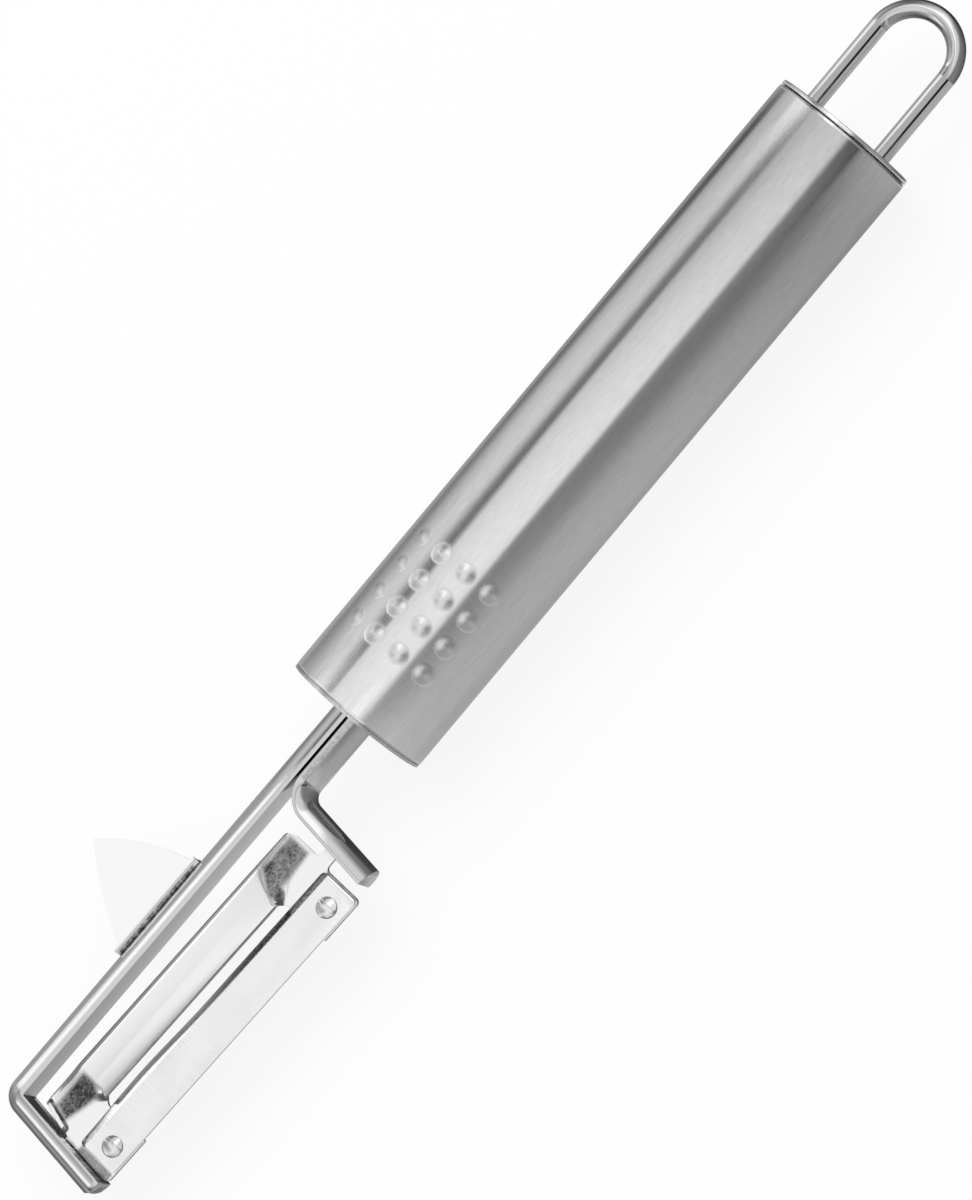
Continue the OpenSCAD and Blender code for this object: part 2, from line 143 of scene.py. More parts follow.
# %% [markdown]
# ## The studio's stripes
# Polished and brushed steel shows the room more than itself. The photograph was taken in a white tent with dark
# cards beside the lens: they draw the dark bands along the handle. A bare white room would make flat metal, so the
# world paints such a room for reflections, as rings of light and dark stripes round the handle's direction. A ring
# is seen only by surfaces that lean its way, so each part of the peeler can be lit by its own rings. Cards and
# lamps as objects would do too, but they would have to be as many, and would light the metal unevenly.

# %% The studio's stripes
CIRCLE = 360
LOOP_STRIPES = [(-180, 0.50), (-150, 0.55), (-120, 0.62), (-98, 0.70), (-90, 1.35), (-68, 1.35), (-58, 0.80),
                (-46, 0.62), (2, 0.62), (9, 0.30), (12, 0.00), (31, 0.00), (35, 0.30), (42, 0.60), (150, 0.60)]
# Each ring: how far its directions lean along the handle, then its stripes, each an angle round the handle, from
# the lens towards the blade's side, and the light level there
RINGS = [
    # seen in the loop's bend and in edges that face the rear
    (-0.99, [(-180, 0.04), (-150, 0.08), (-100, 0.40), (-60, 0.50), (0, 0.30), (180, 0.04)]),
    (-0.93, [(-180, 0.04), (-150, 0.06), (-100, 0.40), (-60, 0.70), (-40, 0.80), (0, 0.25), (180, 0.04)]),
    (-0.86, [(-180, 0.04), (-120, 0.10), (-70, 0.60), (-50, 0.80), (-36, 1.00), (-10, 0.50), (20, 0.30),
             (180, 0.04)]),
    (-0.60, [(-180, 0.05), (-60, 0.20), (-46, 0.90), (-38, 1.00), (-35, 1.50), (-22, 1.50), (-18, 0.95),
             (4, 0.90), (20, 0.30), (180, 0.05)]),
    (-0.11, [(-180, 0.05), (-150, 0.20), (-132, 0.30), (-110, 0.60), (-82, 0.70), (-66, 0.30), (-58, 0.30),
             (-46, 0.80), (-38, 0.95), (-34, 1.45), (-22, 1.45), (-18, 0.95), (6, 0.90), (14, 0.30),
             (38, 0.28), (60, 0.32), (168, 0.05)]),
    # seen in the loop's straight legs, with their black line
    (-0.075, LOOP_STRIPES),
    (-0.047, LOOP_STRIPES),
    # seen in the handle tube
    (-0.044, [(-180, 0.36), (-150, 0.28), (-139, 0.06), (-129, 0.06), (-122, 0.42), (-110, 0.54), (-85, 0.64),
              (-76, 0.60), (-66, 0.22), (-59, 0.20), (-52, 0.42), (-36, 0.60), (-10, 0.73), (7, 0.73),
              (14, 0.28), (30, 0.16), (48, 0.16), (68, 0.28), (120, 0.34), (150, 0.28)]),
    (0.018, [(-180, 0.40), (-152, 0.34), (-142, 0.18), (-132, 0.30), (-122, 0.52), (-108, 0.70), (-82, 0.76),
             (-74, 0.60), (-65, 0.22), (-58, 0.20), (-53, 0.72), (-40, 0.80), (-10, 0.93), (7, 0.93),
             (14, 0.30), (20, 0.23), (38, 0.25), (58, 0.40), (85, 0.47), (125, 0.47), (150, 0.38)]),
    (0.081, [(-180, 0.46), (-150, 0.44), (-134, 0.28), (-122, 0.34), (-104, 0.56), (-94, 0.76), (-80, 0.76),
             (-72, 0.52), (-62, 0.18), (-53, 0.12), (-49, 0.88), (-38, 0.96), (-18, 1.05), (0, 0.97),
             (6, 0.92), (13, 0.30), (20, 0.28), (38, 0.40), (58, 0.50), (110, 0.52), (124, 0.44)]),
    # seen in the long arm and in the flat faces of the carrier and the strip
    (0.0855, [(-180, 0.46), (-125, 0.48), (-97, 0.50), (-86, 0.56), (-79, 0.90), (-75, 1.50), (-62, 1.50),
              (-57, 0.95), (-46, 0.80), (-38, 0.97), (-20, 0.95), (-14, 0.92), (-8, 1.40), (0, 1.40),
              (6, 0.70), (20, 0.76), (64, 0.78), (76, 0.65), (135, 0.62), (150, 0.58)]),
    (0.120, [(-180, 0.46), (-125, 0.46), (-102, 0.50), (-92, 0.58), (-86, 1.00), (-82, 1.50), (-66, 1.50),
             (-58, 0.98), (-20, 0.97), (-14, 0.92), (-8, 1.10), (0, 1.00), (8, 0.70), (64, 0.70),
             (110, 0.56), (150, 0.54)]),
    (0.160, [(-180, 0.46), (-125, 0.46), (-110, 0.50), (-103, 0.90), (-98, 1.50), (-74, 1.50), (-62, 0.97),
             (-20, 0.97), (-12, 0.80), (0, 0.60), (20, 0.46), (150, 0.45)]),
    # seen in bends, in the two short arms and in edges that face the tip
    (0.19, [(-180, 0.40), (-90, 0.60), (-80, 0.75), (-62, 0.60), (-50, 0.95), (-20, 1.00), (12, 0.95),
            (20, 0.30), (64, 0.40), (150, 0.42)]),
    (0.36, [(-180, 0.30), (-130, 0.30), (-104, 0.60), (-80, 0.70), (-66, 0.40), (-54, 0.40), (-44, 0.50),
            (-28, 0.50), (-20, 0.95), (8, 0.95), (18, 0.32), (60, 0.42), (180, 0.30)]),
    (0.55, [(-180, 0.20), (-70, 0.50), (-60, 0.60), (-28, 0.65), (-16, 0.95), (8, 0.90), (20, 0.40),
            (180, 0.20)]),
    (0.72, [(-180, 0.15), (-75, 0.40), (-60, 0.80), (-28, 0.85), (20, 0.30), (180, 0.15)]),
    (0.82, [(-180, 0.15), (-75, 0.40), (-60, 1.50), (-34, 1.50), (-20, 0.60), (20, 0.30), (180, 0.15)]),
    (0.91, [(-180, 0.40), (-135, 0.40), (-80, 0.30), (-60, 1.20), (-46, 1.20), (-34, 0.30), (40, 0.20),
            (180, 0.40)]),
    (0.96, [(-180, 0.50), (-135, 0.60), (-80, 0.15), (-40, 0.15), (40, 0.20), (180, 0.50)]),
]
print("studio rings:", len(RINGS))

# %% [markdown]
# ## The studio's world
# The world knows only the direction of a ray. Its lean is that direction's share along the handle, and its angle
# round the handle comes from the other two shares. Each ring is a Color Ramp over the angle, and each one is
# mixed into the next over the lean. Camera rays see plain white instead, which is the photograph's background.

# %% The studio's world
world = bpy.data.worlds.new("studio")
bpy.context.scene.world = world
world.use_nodes = True
sky = world.node_tree
sky.nodes.clear()
ray = add(sky, "ShaderNodeTexCoord").outputs["Generated"]
lean, side, up = [add(sky, "ShaderNodeVectorMath", {0: ray, 1: axis}, operation="DOT_PRODUCT").outputs["Value"]
                  for axis in (along, across_view, toward_camera)]
angle = add(sky, "ShaderNodeMath", {0: side, 1: up}, operation="ARCTAN2").outputs[0]
share = add(sky, "ShaderNodeMapRange", {"Value": angle, "From Min": -math.pi, "From Max": math.pi}).outputs[0]
print("world nodes for a ray's direction:", len(sky.nodes))

# %% A ramp for each ring
shades = []
for _, stripes in RINGS:
    ramp = add(sky, "ShaderNodeValToRGB", {"Fac": share})
    stops = ramp.color_ramp.elements
    stops.remove(stops[1])
    stops[0].position = stripes[0][0] / CIRCLE + 0.5
    stops[0].color = [stripes[0][1]] * 3 + [1]
    for degrees, level in stripes[1:]:
        stops.new(degrees / CIRCLE + 0.5).color = [level] * 3 + [1]
    shades.append(ramp.outputs["Color"])
print("ramps:", len(shades))

# %% Rings mixed, and white for the camera
# A Mix node keeps its two colours at inputs 6 and 7, and gives the mixed one at output 2
room = shades[0]
for (begin, _), (end, _), shade in zip(RINGS, RINGS[1:], shades[1:]):
    step = add(sky, "ShaderNodeMapRange", {"Value": lean, "From Min": begin, "From Max": end}).outputs[0]
    room = add(sky, "ShaderNodeMix", {"Factor": step, 6: room, 7: shade}, data_type="RGBA").outputs[2]
seen = add(sky, "ShaderNodeLightPath").outputs["Is Camera Ray"]
room = add(sky, "ShaderNodeMix", {"Factor": seen, 6: room, 7: WHITE}, data_type="RGBA").outputs[2]
background = add(sky, "ShaderNodeBackground", {"Color": room, "Strength": 1.0})
add(sky, "ShaderNodeOutputWorld", {"Surface": background.outputs[0]})
print("world nodes:", len(sky.nodes))

# %% [markdown]
# ## Floor and lamp
# The handle rests on a white floor. To the camera most of the floor is plain white light, and the rest is paper,
# which keeps a soft shadow. The lamp is a big soft one that only makes that shadow: the metal gets its light from
# the rings, so floor and lamp are left out of reflections.

# %% The floor
FLOOR_SIZE = 3.0
FLOOR_GAP = 0.05 * MM
SHADOW_KEPT = 0.12

bpy.ops.mesh.primitive_plane_add(size=FLOOR_SIZE, location=(0, 0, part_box("handle_tube")[0].z - FLOOR_GAP))
floor = bpy.context.object
floor.name = "floor"
paper = bpy.data.materials.new("white_paper")
paper.use_nodes = True
tree = paper.node_tree
tree.nodes.clear()
sheet = add(tree, "ShaderNodeBsdfDiffuse", {"Color": linear("#f2f2f2")}).outputs[0]
glow = add(tree, "ShaderNodeEmission", {"Color": WHITE, "Strength": 1.0}).outputs[0]
seen = add(tree, "ShaderNodeLightPath").outputs["Is Camera Ray"]
lit = add(tree, "ShaderNodeMath", {0: seen, 1: 1 - SHADOW_KEPT}, operation="MULTIPLY").outputs[0]
mix = add(tree, "ShaderNodeMixShader", {0: lit, 1: sheet, 2: glow})
add(tree, "ShaderNodeOutputMaterial", {"Surface": mix.outputs[0]})
floor.data.materials.append(paper)
floor.visible_glossy = False
print("floor at z", round(floor.location.z / MM, 2), "mm")

# %% The lamp
LAMP_PLACE, LAMP_AIM = Vector((-0.2, -0.5, 0.9)), Vector((0.03, 0, 0))
LAMP_SIZE, LAMP_WATTS = 0.7, 6

bpy.ops.object.light_add(type="AREA", location=LAMP_PLACE)
lamp = bpy.context.object
lamp.name = "soft_lamp"
lamp.rotation_euler = look(LAMP_PLACE, LAMP_AIM, along).to_euler()
lamp.data.size = LAMP_SIZE
lamp.data.energy = LAMP_WATTS
lamp.visible_glossy = False
print("lamp:", LAMP_SIZE, "m wide,", round(LAMP_PLACE.length, 2), "m away")

# %% [markdown]
# ## Patterns and surfaces
# Every finish here is made the same way: noise of a real size in millimetres, stretched along the way the tool ran,
# lightens the colour, sets how sharp the reflection is and raises the surface. The noise reads Object coordinates,
# so it stays on a piece when the piece moves. Image textures would be quicker, but they show their joins.


# %% Patterns and surfaces
def new_material(name):
    """A new material and its node tree."""
    made = bpy.data.materials.new(name)
    made.use_nodes = True
    return made, made.node_tree


def grain(tree, size_mm, detail=3.0, seed=0.0):
    """Noise in Object coordinates whose grains measure size_mm along X, Y and Z."""
    coords = add(tree, "ShaderNodeTexCoord").outputs["Object"]
    stretch = add(tree, "ShaderNodeMapping",
                  {"Vector": coords, "Location": (seed, seed, seed), "Scale": [1 / (s * MM) for s in size_mm]})
    return add(tree, "ShaderNodeTexNoise",
               {"Vector": stretch.outputs[0], "Scale": 1.0, "Detail": detail}).outputs["Fac"]


def surface(tree, hex_colour, roughness, shade=None, relief=None, metallic=1.0):
    """Sets the shader. shade lightens or darkens the colour, and relief is a height, a strength and a depth in mm."""
    shader = tree.nodes["Principled BSDF"]
    colour = linear(hex_colour)
    feed(shader, {"Base Color": colour, "Metallic": metallic, "Roughness": roughness})
    if shade is not None:
        shaded = add(tree, "ShaderNodeVectorMath", {0: colour[:3], "Scale": shade}, operation="SCALE")
        feed(shader, {"Base Color": shaded.outputs[0]})
    if relief is not None:
        height, strength, depth_mm = relief
        bump = add(tree, "ShaderNodeBump", {"Height": height, "Strength": strength, "Distance": depth_mm * MM})
        feed(shader, {"Normal": bump.outputs[0]})


# Noise seldom leaves the middle of its range, so only that part is spread over the values wanted
MIDDLE = {"From Min": 0.3, "From Max": 0.7}
HARD_MIDDLE = {"From Min": 0.35, "From Max": 0.65}
print("noise is spread from", MIDDLE["From Min"], "to", MIDDLE["From Max"])

# %% [markdown]
# ## Brushed stainless tube
# The handle is stainless tube, belt-brushed along its length. Brushing leaves fine grooves, so the mirror image of
# the room is smeared round the tube but stays sharp along it. An anisotropic shader would smear it too, but only
# drawn grooves catch the light one by one. They have their real 0.05 mm: a pixel takes in about four of them, which
# gives the bands their soft edges without a thread of noise. The nubs were pressed after brushing, and are duller.

# %% Brushed stainless tube
GROOVE = (5, 0.05, 0.05)
brushed, tree = new_material("brushed_stainless")
grooves = grain(tree, GROOVE)
scratched = add(tree, "ShaderNodeMapRange", {"Value": grooves, **MIDDLE, "To Min": 0.06, "To Max": 0.11})
pressed = add(tree, "ShaderNodeAttribute", attribute_name="pressed").outputs["Fac"]
rough = add(tree, "ShaderNodeMath", {0: pressed, 1: 0.2, 2: scratched.outputs[0]}, operation="MULTIPLY_ADD")
clouds = grain(tree, (2.0, 0.5, 0.5), seed=3.0)
shade = add(tree, "ShaderNodeMapRange", {"Value": clouds, **MIDDLE, "To Min": 0.96, "To Max": 1.04})
surface(tree, "#e4e4e4", rough.outputs[0], shade.outputs[0], (grooves, 0.2, 0.004))
print("brushed grooves:", GROOVE[1], "mm wide")

# %% [markdown]
# ## Polished wire
# Loop and bow are drawn stainless wire, barrel polished: nearly mirror, with a faint ripple of a few millimetres
# that makes the reflected edges waver. In the hard bends the skin is creased and dull. An attribute on the bow says
# where, and also darkens the colour: painted shade in the bends and in the crevice by the eye cutter's foot, and
# painted shade and reflection on the tip arm's inner side and its end. The loop has none and reads it as 0, so it is
# all bright.

# %% Polished wire
CREASE = (0.5, 0.5, 3)
polished_wire, tree = new_material("polished_wire")
ripple = grain(tree, (4, 1.5, 1.5), detail=2.0)
worked = add(tree, "ShaderNodeAttribute", attribute_name="worked").outputs["Fac"]
creases = grain(tree, CREASE, detail=2.0, seed=7.0)
creased = add(tree, "ShaderNodeMapRange", {"Value": creases, **HARD_MIDDLE, "To Min": 0.1, "To Max": 1.0})
# The mark darkens the colour: painted shade, and painted reflection on the tip arm, mottled by the creases
dark = add(tree, "ShaderNodeMath", {0: worked, 1: creased.outputs[0]}, operation="MULTIPLY").outputs[0]
shade = add(tree, "ShaderNodeMath", {0: dark, 1: -0.75, 2: 1.0}, operation="MULTIPLY_ADD").outputs[0]
rough = add(tree, "ShaderNodeMath", {0: worked, 1: 0.45, 2: 0.05}, operation="MULTIPLY_ADD").outputs[0]
surface(tree, "#d2d2d2", rough, shade, (ripple, 0.25, 0.02))
print("creases:", CREASE[0], "mm apart")

# %% [markdown]
# ## Polished and drawn sheet
# The eye cutter is rolled stainless sheet, polished bright. The carrier is the same sheet, but drawn over steps:
# there its skin is stretched, the polish is gone and the surface is pebbled like orange peel. Real pebbles are
# about a tenth of a millimetre, and are drawn at 0.35 mm here so that they show. An attribute says where, and it
# also darkens the colour there, on the cut edges and in the rear cap's seam, as painted shade and painted reflection.

# %% Polished and drawn sheet
PEBBLE = (0.4, 0.35, 0.35)
polished_sheet, tree = new_material("polished_sheet")
surface(tree, "#fafafa", 0.10, relief=(grain(tree, (5, 3, 3), detail=2.0), 0.2, 0.02))

drawn_sheet, tree = new_material("drawn_sheet")
drawn = add(tree, "ShaderNodeAttribute", attribute_name="drawn").outputs["Fac"]
pebbles = grain(tree, PEBBLE, seed=4.0)
clouds = grain(tree, (2.0, 1.5, 1.5), detail=2.0, seed=9.0)
spots = add(tree, "ShaderNodeMapRange", {"Value": pebbles, **MIDDLE, "To Min": 0.8, "To Max": 1.12}).outputs[0]
blurs = add(tree, "ShaderNodeMapRange", {"Value": clouds, **MIDDLE, "To Min": 0.85, "To Max": 1.1}).outputs[0]
mottled = add(tree, "ShaderNodeMath", {0: spots, 1: blurs}, operation="MULTIPLY").outputs[0]
dull_and_shade = add(tree, "ShaderNodeMath", {0: drawn, 1: mottled}, operation="MULTIPLY").outputs[0]
# The mark darkens the colour: painted shade and painted reflection, mottled by the pebbles and clouds
shade = add(tree, "ShaderNodeMapRange", {"Value": dull_and_shade, "From Max": 0.95, "To Min": 1.0, "To Max": 0.06})
rough = add(tree, "ShaderNodeMath", {0: drawn, 1: 0.25, 2: 0.10}, operation="MULTIPLY_ADD").outputs[0]
bumps = add(tree, "ShaderNodeMath", {0: pebbles, 1: drawn}, operation="MULTIPLY").outputs[0]
surface(tree, "#f4f4f4", rough, shade.outputs[0], (bumps, 0.4, 0.04))
print("orange peel:", PEBBLE[1], "mm")

# %% [markdown]
# ## Ground blade
# The blade strip is ground flat across its length, which leaves lines too fine to see: they are drawn 0.25 mm
# apart so that they show as a faint grain. The bevel is ground last, and is darker along its heel half and, less,
# at its tip, mottled like grit marks. A plain rough metal would be even all over, and the strip isn't.

# %% Ground blade
LINE = (0.25, 6, 6)
ground, tree = new_material("ground_blade")
lines = grain(tree, LINE, detail=2.0)
rough = add(tree, "ShaderNodeMapRange", {"Value": lines, **MIDDLE, "To Min": 0.10, "To Max": 0.20}).outputs[0]
clouds = grain(tree, (7, 4, 4), detail=2.0, seed=2.0)
even = add(tree, "ShaderNodeMapRange", {"Value": clouds, **MIDDLE, "To Min": 0.96, "To Max": 1.02}).outputs[0]
bevel_dark = add(tree, "ShaderNodeAttribute", attribute_name="bevel_dark").outputs["Fac"]
grit = grain(tree, (0.3, 0.3, 0.3), seed=5.0)
marks = add(tree, "ShaderNodeMapRange", {"Value": grit, **HARD_MIDDLE, "To Min": 0.55, "To Max": 0.9}).outputs[0]
# The bevel is darker where marked, mottled by the grit
darkened = add(tree, "ShaderNodeMath", {0: bevel_dark, 1: marks}, operation="MULTIPLY").outputs[0]
shade = add(tree, "ShaderNodeMath", {0: even, 1: darkened}, operation="SUBTRACT").outputs[0]
surface(tree, "#f2f2f2", rough, shade, (lines, 0.1, 0.01))
print("grinding lines:", LINE[0], "mm apart")

# %% [markdown]
# ## Front cap, rivets and plugs
# The front cap is pressed and left satin, a grey with a fine speckle. Rivets are headed cold: bright, with shallow
# dents of about a millimetre, whose hollows are painted darker as shade. The plugs are dark moulded plastic, of which
# only a sliver shows in the holes.

# %% Front cap, rivets and plugs
satin, tree = new_material("satin_cap")
speckle = grain(tree, (0.4, 0.4, 0.4))
shade = add(tree, "ShaderNodeMapRange", {"Value": speckle, **MIDDLE, "To Min": 0.8, "To Max": 1.05}).outputs[0]
surface(tree, "#d8d8d8", 0.2, shade)

headed, tree = new_material("headed_rivet")
dents = grain(tree, (0.8, 0.8, 0.8), detail=2.0, seed=6.0)
# The dents' hollows are painted darker, as shade
shade = add(tree, "ShaderNodeMapRange",
            {"Value": dents, "From Min": 0.35, "From Max": 0.5, "To Min": 0.7, "To Max": 1.0}).outputs[0]
surface(tree, "#e8e8e8", 0.12, shade, (dents, 0.4, 0.06))

moulded, tree = new_material("moulded_plastic")
surface(tree, "#202022", 0.55, relief=(grain(tree, (0.2, 0.2, 0.2)), 0.3, 0.02), metallic=0.0)
print("cap, rivets and plugs:", satin.name, headed.name, moulded.name)

# %% Each node's finish
FINISH = {
    "handle_tube": brushed, "front_cap": satin, "rear_cap": drawn_sheet, "front_plug": moulded,
    "rear_plug": moulded, "hanging_loop": polished_wire, "frame_bow": polished_wire,
    "eye_cutter": polished_sheet, "blade_carrier": drawn_sheet, "blade_strip": ground,
    "rivet_heel": headed, "rivet_tip": headed,
}
for name, finish in FINISH.items():
    for place in nodes[name].material_slots:
        place.material = finish
print("finishes:", ", ".join(sorted({finish.name for finish in FINISH.values()})))

# %% [markdown]
# ## Handle tube
# The handle is a thin tube that stops just short of the rear cap's rim, so that a black seam shows. Pieces are
# modelled in millimetres, which suits Blender's merge and cut thresholds, and become metres when they are put in
# place. An open cylinder gets a grid as fine as the nubs need, but only where they are: a subdivision surface would
# be as fine all over.

# %% Handle tube
TUBE_R = -box_mm("handle_tube")[0].z
CAP_RIM, SEAM = 0.58, 0.27
TUBE_X = (rear_x + CAP_RIM + SEAM, box_mm("handle_tube")[1].x)
FIELD_X = (25.0, 43.5)
GRID, END_BAND = 0.25, 0.4
ALONG_X = (0, math.pi / 2, 0)
NEAR = 0.005


def start(name, add_primitive, **settings):
    """Adds a primitive by itself, makes its place part of its mesh, and opens it for editing."""
    bpy.ops.object.select_all(action="DESELECT")
    add_primitive(**settings)
    piece = bpy.context.object
    piece.name = name
    bpy.ops.object.transform_apply(location=True, rotation=True, scale=True)
    bpy.ops.object.mode_set(mode="EDIT")
    return piece


def cut(point, normal, **settings):
    """Cuts the whole open mesh with a plane."""
    bpy.ops.mesh.select_all(action="SELECT")
    bpy.ops.mesh.bisect(plane_co=point, plane_no=normal, **settings)


tube = start("brushed_tube", bpy.ops.mesh.primitive_cylinder_add, vertices=256, radius=TUBE_R,
             depth=TUBE_X[1] - TUBE_X[0], end_fill_type="NOTHING", rotation=ALONG_X, location=(sum(TUBE_X) / 2, 0, 0))
for x in (*FIELD_X, TUBE_X[0] + END_BAND, TUBE_X[1] - END_BAND):
    cut((x, 0, 0), (1, 0, 0))
print("tube:", round(TUBE_X[1] - TUBE_X[0], 2), "mm long")


# %% The grid for the nubs
def pick(piece, kind, test):
    """Selects the verts, edges or faces whose middle passes the test."""
    bpy.context.tool_settings.mesh_select_mode = (kind == "VERT", kind == "EDGE", kind == "FACE")
    bpy.ops.mesh.select_all(action="DESELECT")
    mesh = bmesh.from_edit_mesh(piece.data)
    for part in {"VERT": mesh.verts, "EDGE": mesh.edges, "FACE": mesh.faces}[kind]:
        middle = part.co if kind == "VERT" else sum((v.co for v in part.verts), Vector()) / len(part.verts)
        part.select_set(test(middle))
    mesh.select_flush_mode()
    bmesh.update_edit_mesh(piece.data)


pick(tube, "EDGE", lambda m: abs(m.x - sum(FIELD_X) / 2) < NEAR)
bpy.ops.mesh.subdivide(number_cuts=round((FIELD_X[1] - FIELD_X[0]) / GRID) - 1)
print("tube grid:", len(bmesh.from_edit_mesh(tube.data).verts), "vertices")

# %% [markdown]
# ## Grip nubs
# The real nubs are pressed out of the tube from inside, so they rise from it in a soft swell with no edge. The
# plain solid has balls that meet the tube sharply. Balls joined by a boolean would do the same, so instead each
# vertex of the grid rises as a low dome round the nearest nub's middle. Solidify makes the wall, dimples included.

# %% Where the nubs are
NUB_FIRST, NUB_PITCH, NUBS = 11.15, 4.75, range(4)
NUB_TURN, NUB_ROW_TURN = 37.75, 23.5

nub_turns = [math.radians(NUB_TURN - NUB_ROW_TURN * i) for i in NUBS]
nub_middles = [Vector((front_x - NUB_FIRST - NUB_PITCH * i, -TUBE_R * math.sin(a), TUBE_R * math.cos(a)))
               for i in NUBS for a in nub_turns]
print("nubs:", len(nub_middles))

# %% The nubs rise
NUB_RISE, NUB_REACH = 0.23, 1.4


def reshape(piece, move):
    """Moves every vertex of the open mesh to move(its place)."""
    mesh = bmesh.from_edit_mesh(piece.data)
    for vertex in mesh.verts:
        vertex.co = move(vertex.co)
    bmesh.update_edit_mesh(piece.data)


def swell(co):
    """A tube vertex, risen as a low dome where a nub is near."""
    near = min((co - m).length for m in nub_middles) / NUB_REACH
    rise = NUB_RISE * max(1 - near ** 2, 0) ** 1.5
    return co + Vector((0, co.y, co.z)).normalized() * rise


reshape(tube, swell)
print("nubs stand", NUB_RISE, "mm proud")

# %% The tube's wall
TUBE_WALL, TUBE_EDGE = 0.5, 0.05


def finish_mesh():
    """Turns every face of the open mesh outwards, and leaves edit mode."""
    bpy.ops.mesh.select_all(action="SELECT")
    bpy.ops.mesh.normals_make_consistent(inside=False)
    bpy.ops.object.mode_set(mode="OBJECT")


def hold(piece):
    """Selects one piece alone and makes it the active one."""
    bpy.ops.object.select_all(action="DESELECT")
    piece.select_set(True)
    bpy.context.view_layer.objects.active = piece


def modify(piece, kind, **settings):
    """Adds a modifier and applies it."""
    modifier = piece.modifiers.new(kind.lower(), kind)
    for name, value in settings.items():
        setattr(modifier, name, value)
    hold(piece)
    bpy.ops.object.modifier_apply(modifier=modifier.name)


finish_mesh()
modify(tube, "SOLIDIFY", thickness=TUBE_WALL, offset=-1.0, use_even_offset=True)
modify(tube, "BEVEL", width=TUBE_EDGE, segments=2, limit_method="ANGLE", angle_limit=math.radians(60))
print("tube wall:", TUBE_WALL, "mm")

# %% [markdown]
# ## Marks, and the tube in place
# A material can't know where a nub is, but a mesh can carry a number on each vertex, called an attribute, and the
# material reads it. It could come from a texture painted by hand, but worked out from the same places as the shape
# it always fits. Then the tube is turned to metres, smoothed, and stands for its node.

# %% Marks on the nubs
NUB_SOFT = 0.35


def eased(share):
    """A smooth step from 0 to 1."""
    share = min(max(share, 0), 1)
    return share * share * (3 - 2 * share)


def mark(piece, name, amount):
    """Writes amount(vertex) on every vertex as an attribute for the material."""
    layer = piece.data.attributes.new(name, "FLOAT", "POINT")
    for vertex, value in zip(piece.data.vertices, layer.data):
        value.value = amount(vertex)


def pressed_out(vertex):
    """1 on a nub, easing to 0 round it."""
    if not FIELD_X[0] < vertex.co.x < FIELD_X[1]:
        return 0
    near = min((vertex.co - m).length for m in nub_middles)
    return eased((NUB_REACH + NUB_SOFT - near) / NUB_SOFT)


mark(tube, "pressed", pressed_out)
print("marks:", ", ".join(layer.name for layer in tube.data.attributes if layer.name == "pressed"))


# %% The tube in place
def settle(piece, place, body, stands_for, smooth_deg=25):
    """Puts a piece at its place and turns mm to metres, smooths it, and lets it stand for its CAD node."""
    piece.data.transform(Matrix.Scale(MM, 4) @ place)
    hold(piece)
    bpy.ops.object.shade_smooth_by_angle(angle=math.radians(smooth_deg))
    piece.data.materials.clear()
    piece.data.materials.append(FINISH[stands_for])
    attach(piece, body)
    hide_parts(stands_for)
    print(piece.name, len(piece.data.polygons), "faces")


settle(tube, Matrix.Identity(4), "handle", "handle_tube")

# %% [markdown]
# ## Rear cap
# The rear cap is pressed from sheet: a disc with a rolled rim outside, and a skirt that grips the tube from inside.
# The rim stands a quarter of a millimetre off the tube, and that seam reads as a black line. A profile could be
# spun round, but inset and extrude follow the press: in from the rim, up the skirt, in again and back down.

# %% Rear cap
CAP_R = box_mm("rear_cap")[1].y
CAP_ROLL, SKIRT_IN, SKIRT_WALL, SKIRT_LEN = 0.14, 0.6, 0.5, 3.0
RIM_BAND = 0.1

cap = start("pressed_cap", bpy.ops.mesh.primitive_cylinder_add, vertices=128, radius=CAP_R, depth=CAP_RIM,
            end_fill_type="NGON", rotation=ALONG_X, location=(rear_x + CAP_RIM / 2, 0, 0))
pick(cap, "FACE", lambda m: m.x > rear_x + CAP_RIM - NEAR)
for inset, rise in ((SKIRT_IN, SKIRT_LEN), (SKIRT_WALL, -SKIRT_LEN)):
    bpy.ops.mesh.inset(thickness=inset)
    bpy.ops.mesh.extrude_region_move(TRANSFORM_OT_translate={"value": (rise, 0, 0)})
pick(cap, "EDGE", lambda m: m.x < rear_x + NEAR and m.yz.length > CAP_R - RIM_BAND)
bpy.ops.mesh.bevel(offset=CAP_ROLL, segments=3, affect="EDGES")
finish_mesh()
print("cap:", round(2 * CAP_R, 2), "mm across, skirt", SKIRT_LEN, "mm")

# %% [markdown]
# ## The cap's holes
# Two punched holes let the loop's legs through. A drill is a cylinder that a boolean takes away. The fast solver is
# used, because the exact one turned the bow inside out, and the holes here are simple. The skirt, which is seen only
# in the seam, is marked for the drawn sheet's darkening, which paints it dark as the seam's shade.

# %% The cap's holes
LEG_R, LEG_Y, LEG_PLAY = box_mm("hanging_loop")[1].z, 6.1, 0.03
PUNCH_DEPTH = 4
SEAM_SHADE = 0.97


def drill(piece, radius, depth, place):
    """Drills a hole along the X direction of a place, as deep to both sides of it."""
    bit = start("drill", bpy.ops.mesh.primitive_cylinder_add, vertices=48, radius=radius, depth=depth,
                rotation=ALONG_X)
    bpy.ops.object.mode_set(mode="OBJECT")
    bit.data.transform(place)
    modify(piece, "BOOLEAN", operation="DIFFERENCE", object=bit, solver="FAST")
    bpy.data.objects.remove(bit)


def in_seam(vertex):
    """The skirt's painted shade, and 0 on the rim."""
    inner = vertex.co.x > rear_x + CAP_RIM - NEAR and vertex.co.yz.length < CAP_R - RIM_BAND
    return SEAM_SHADE if inner else 0


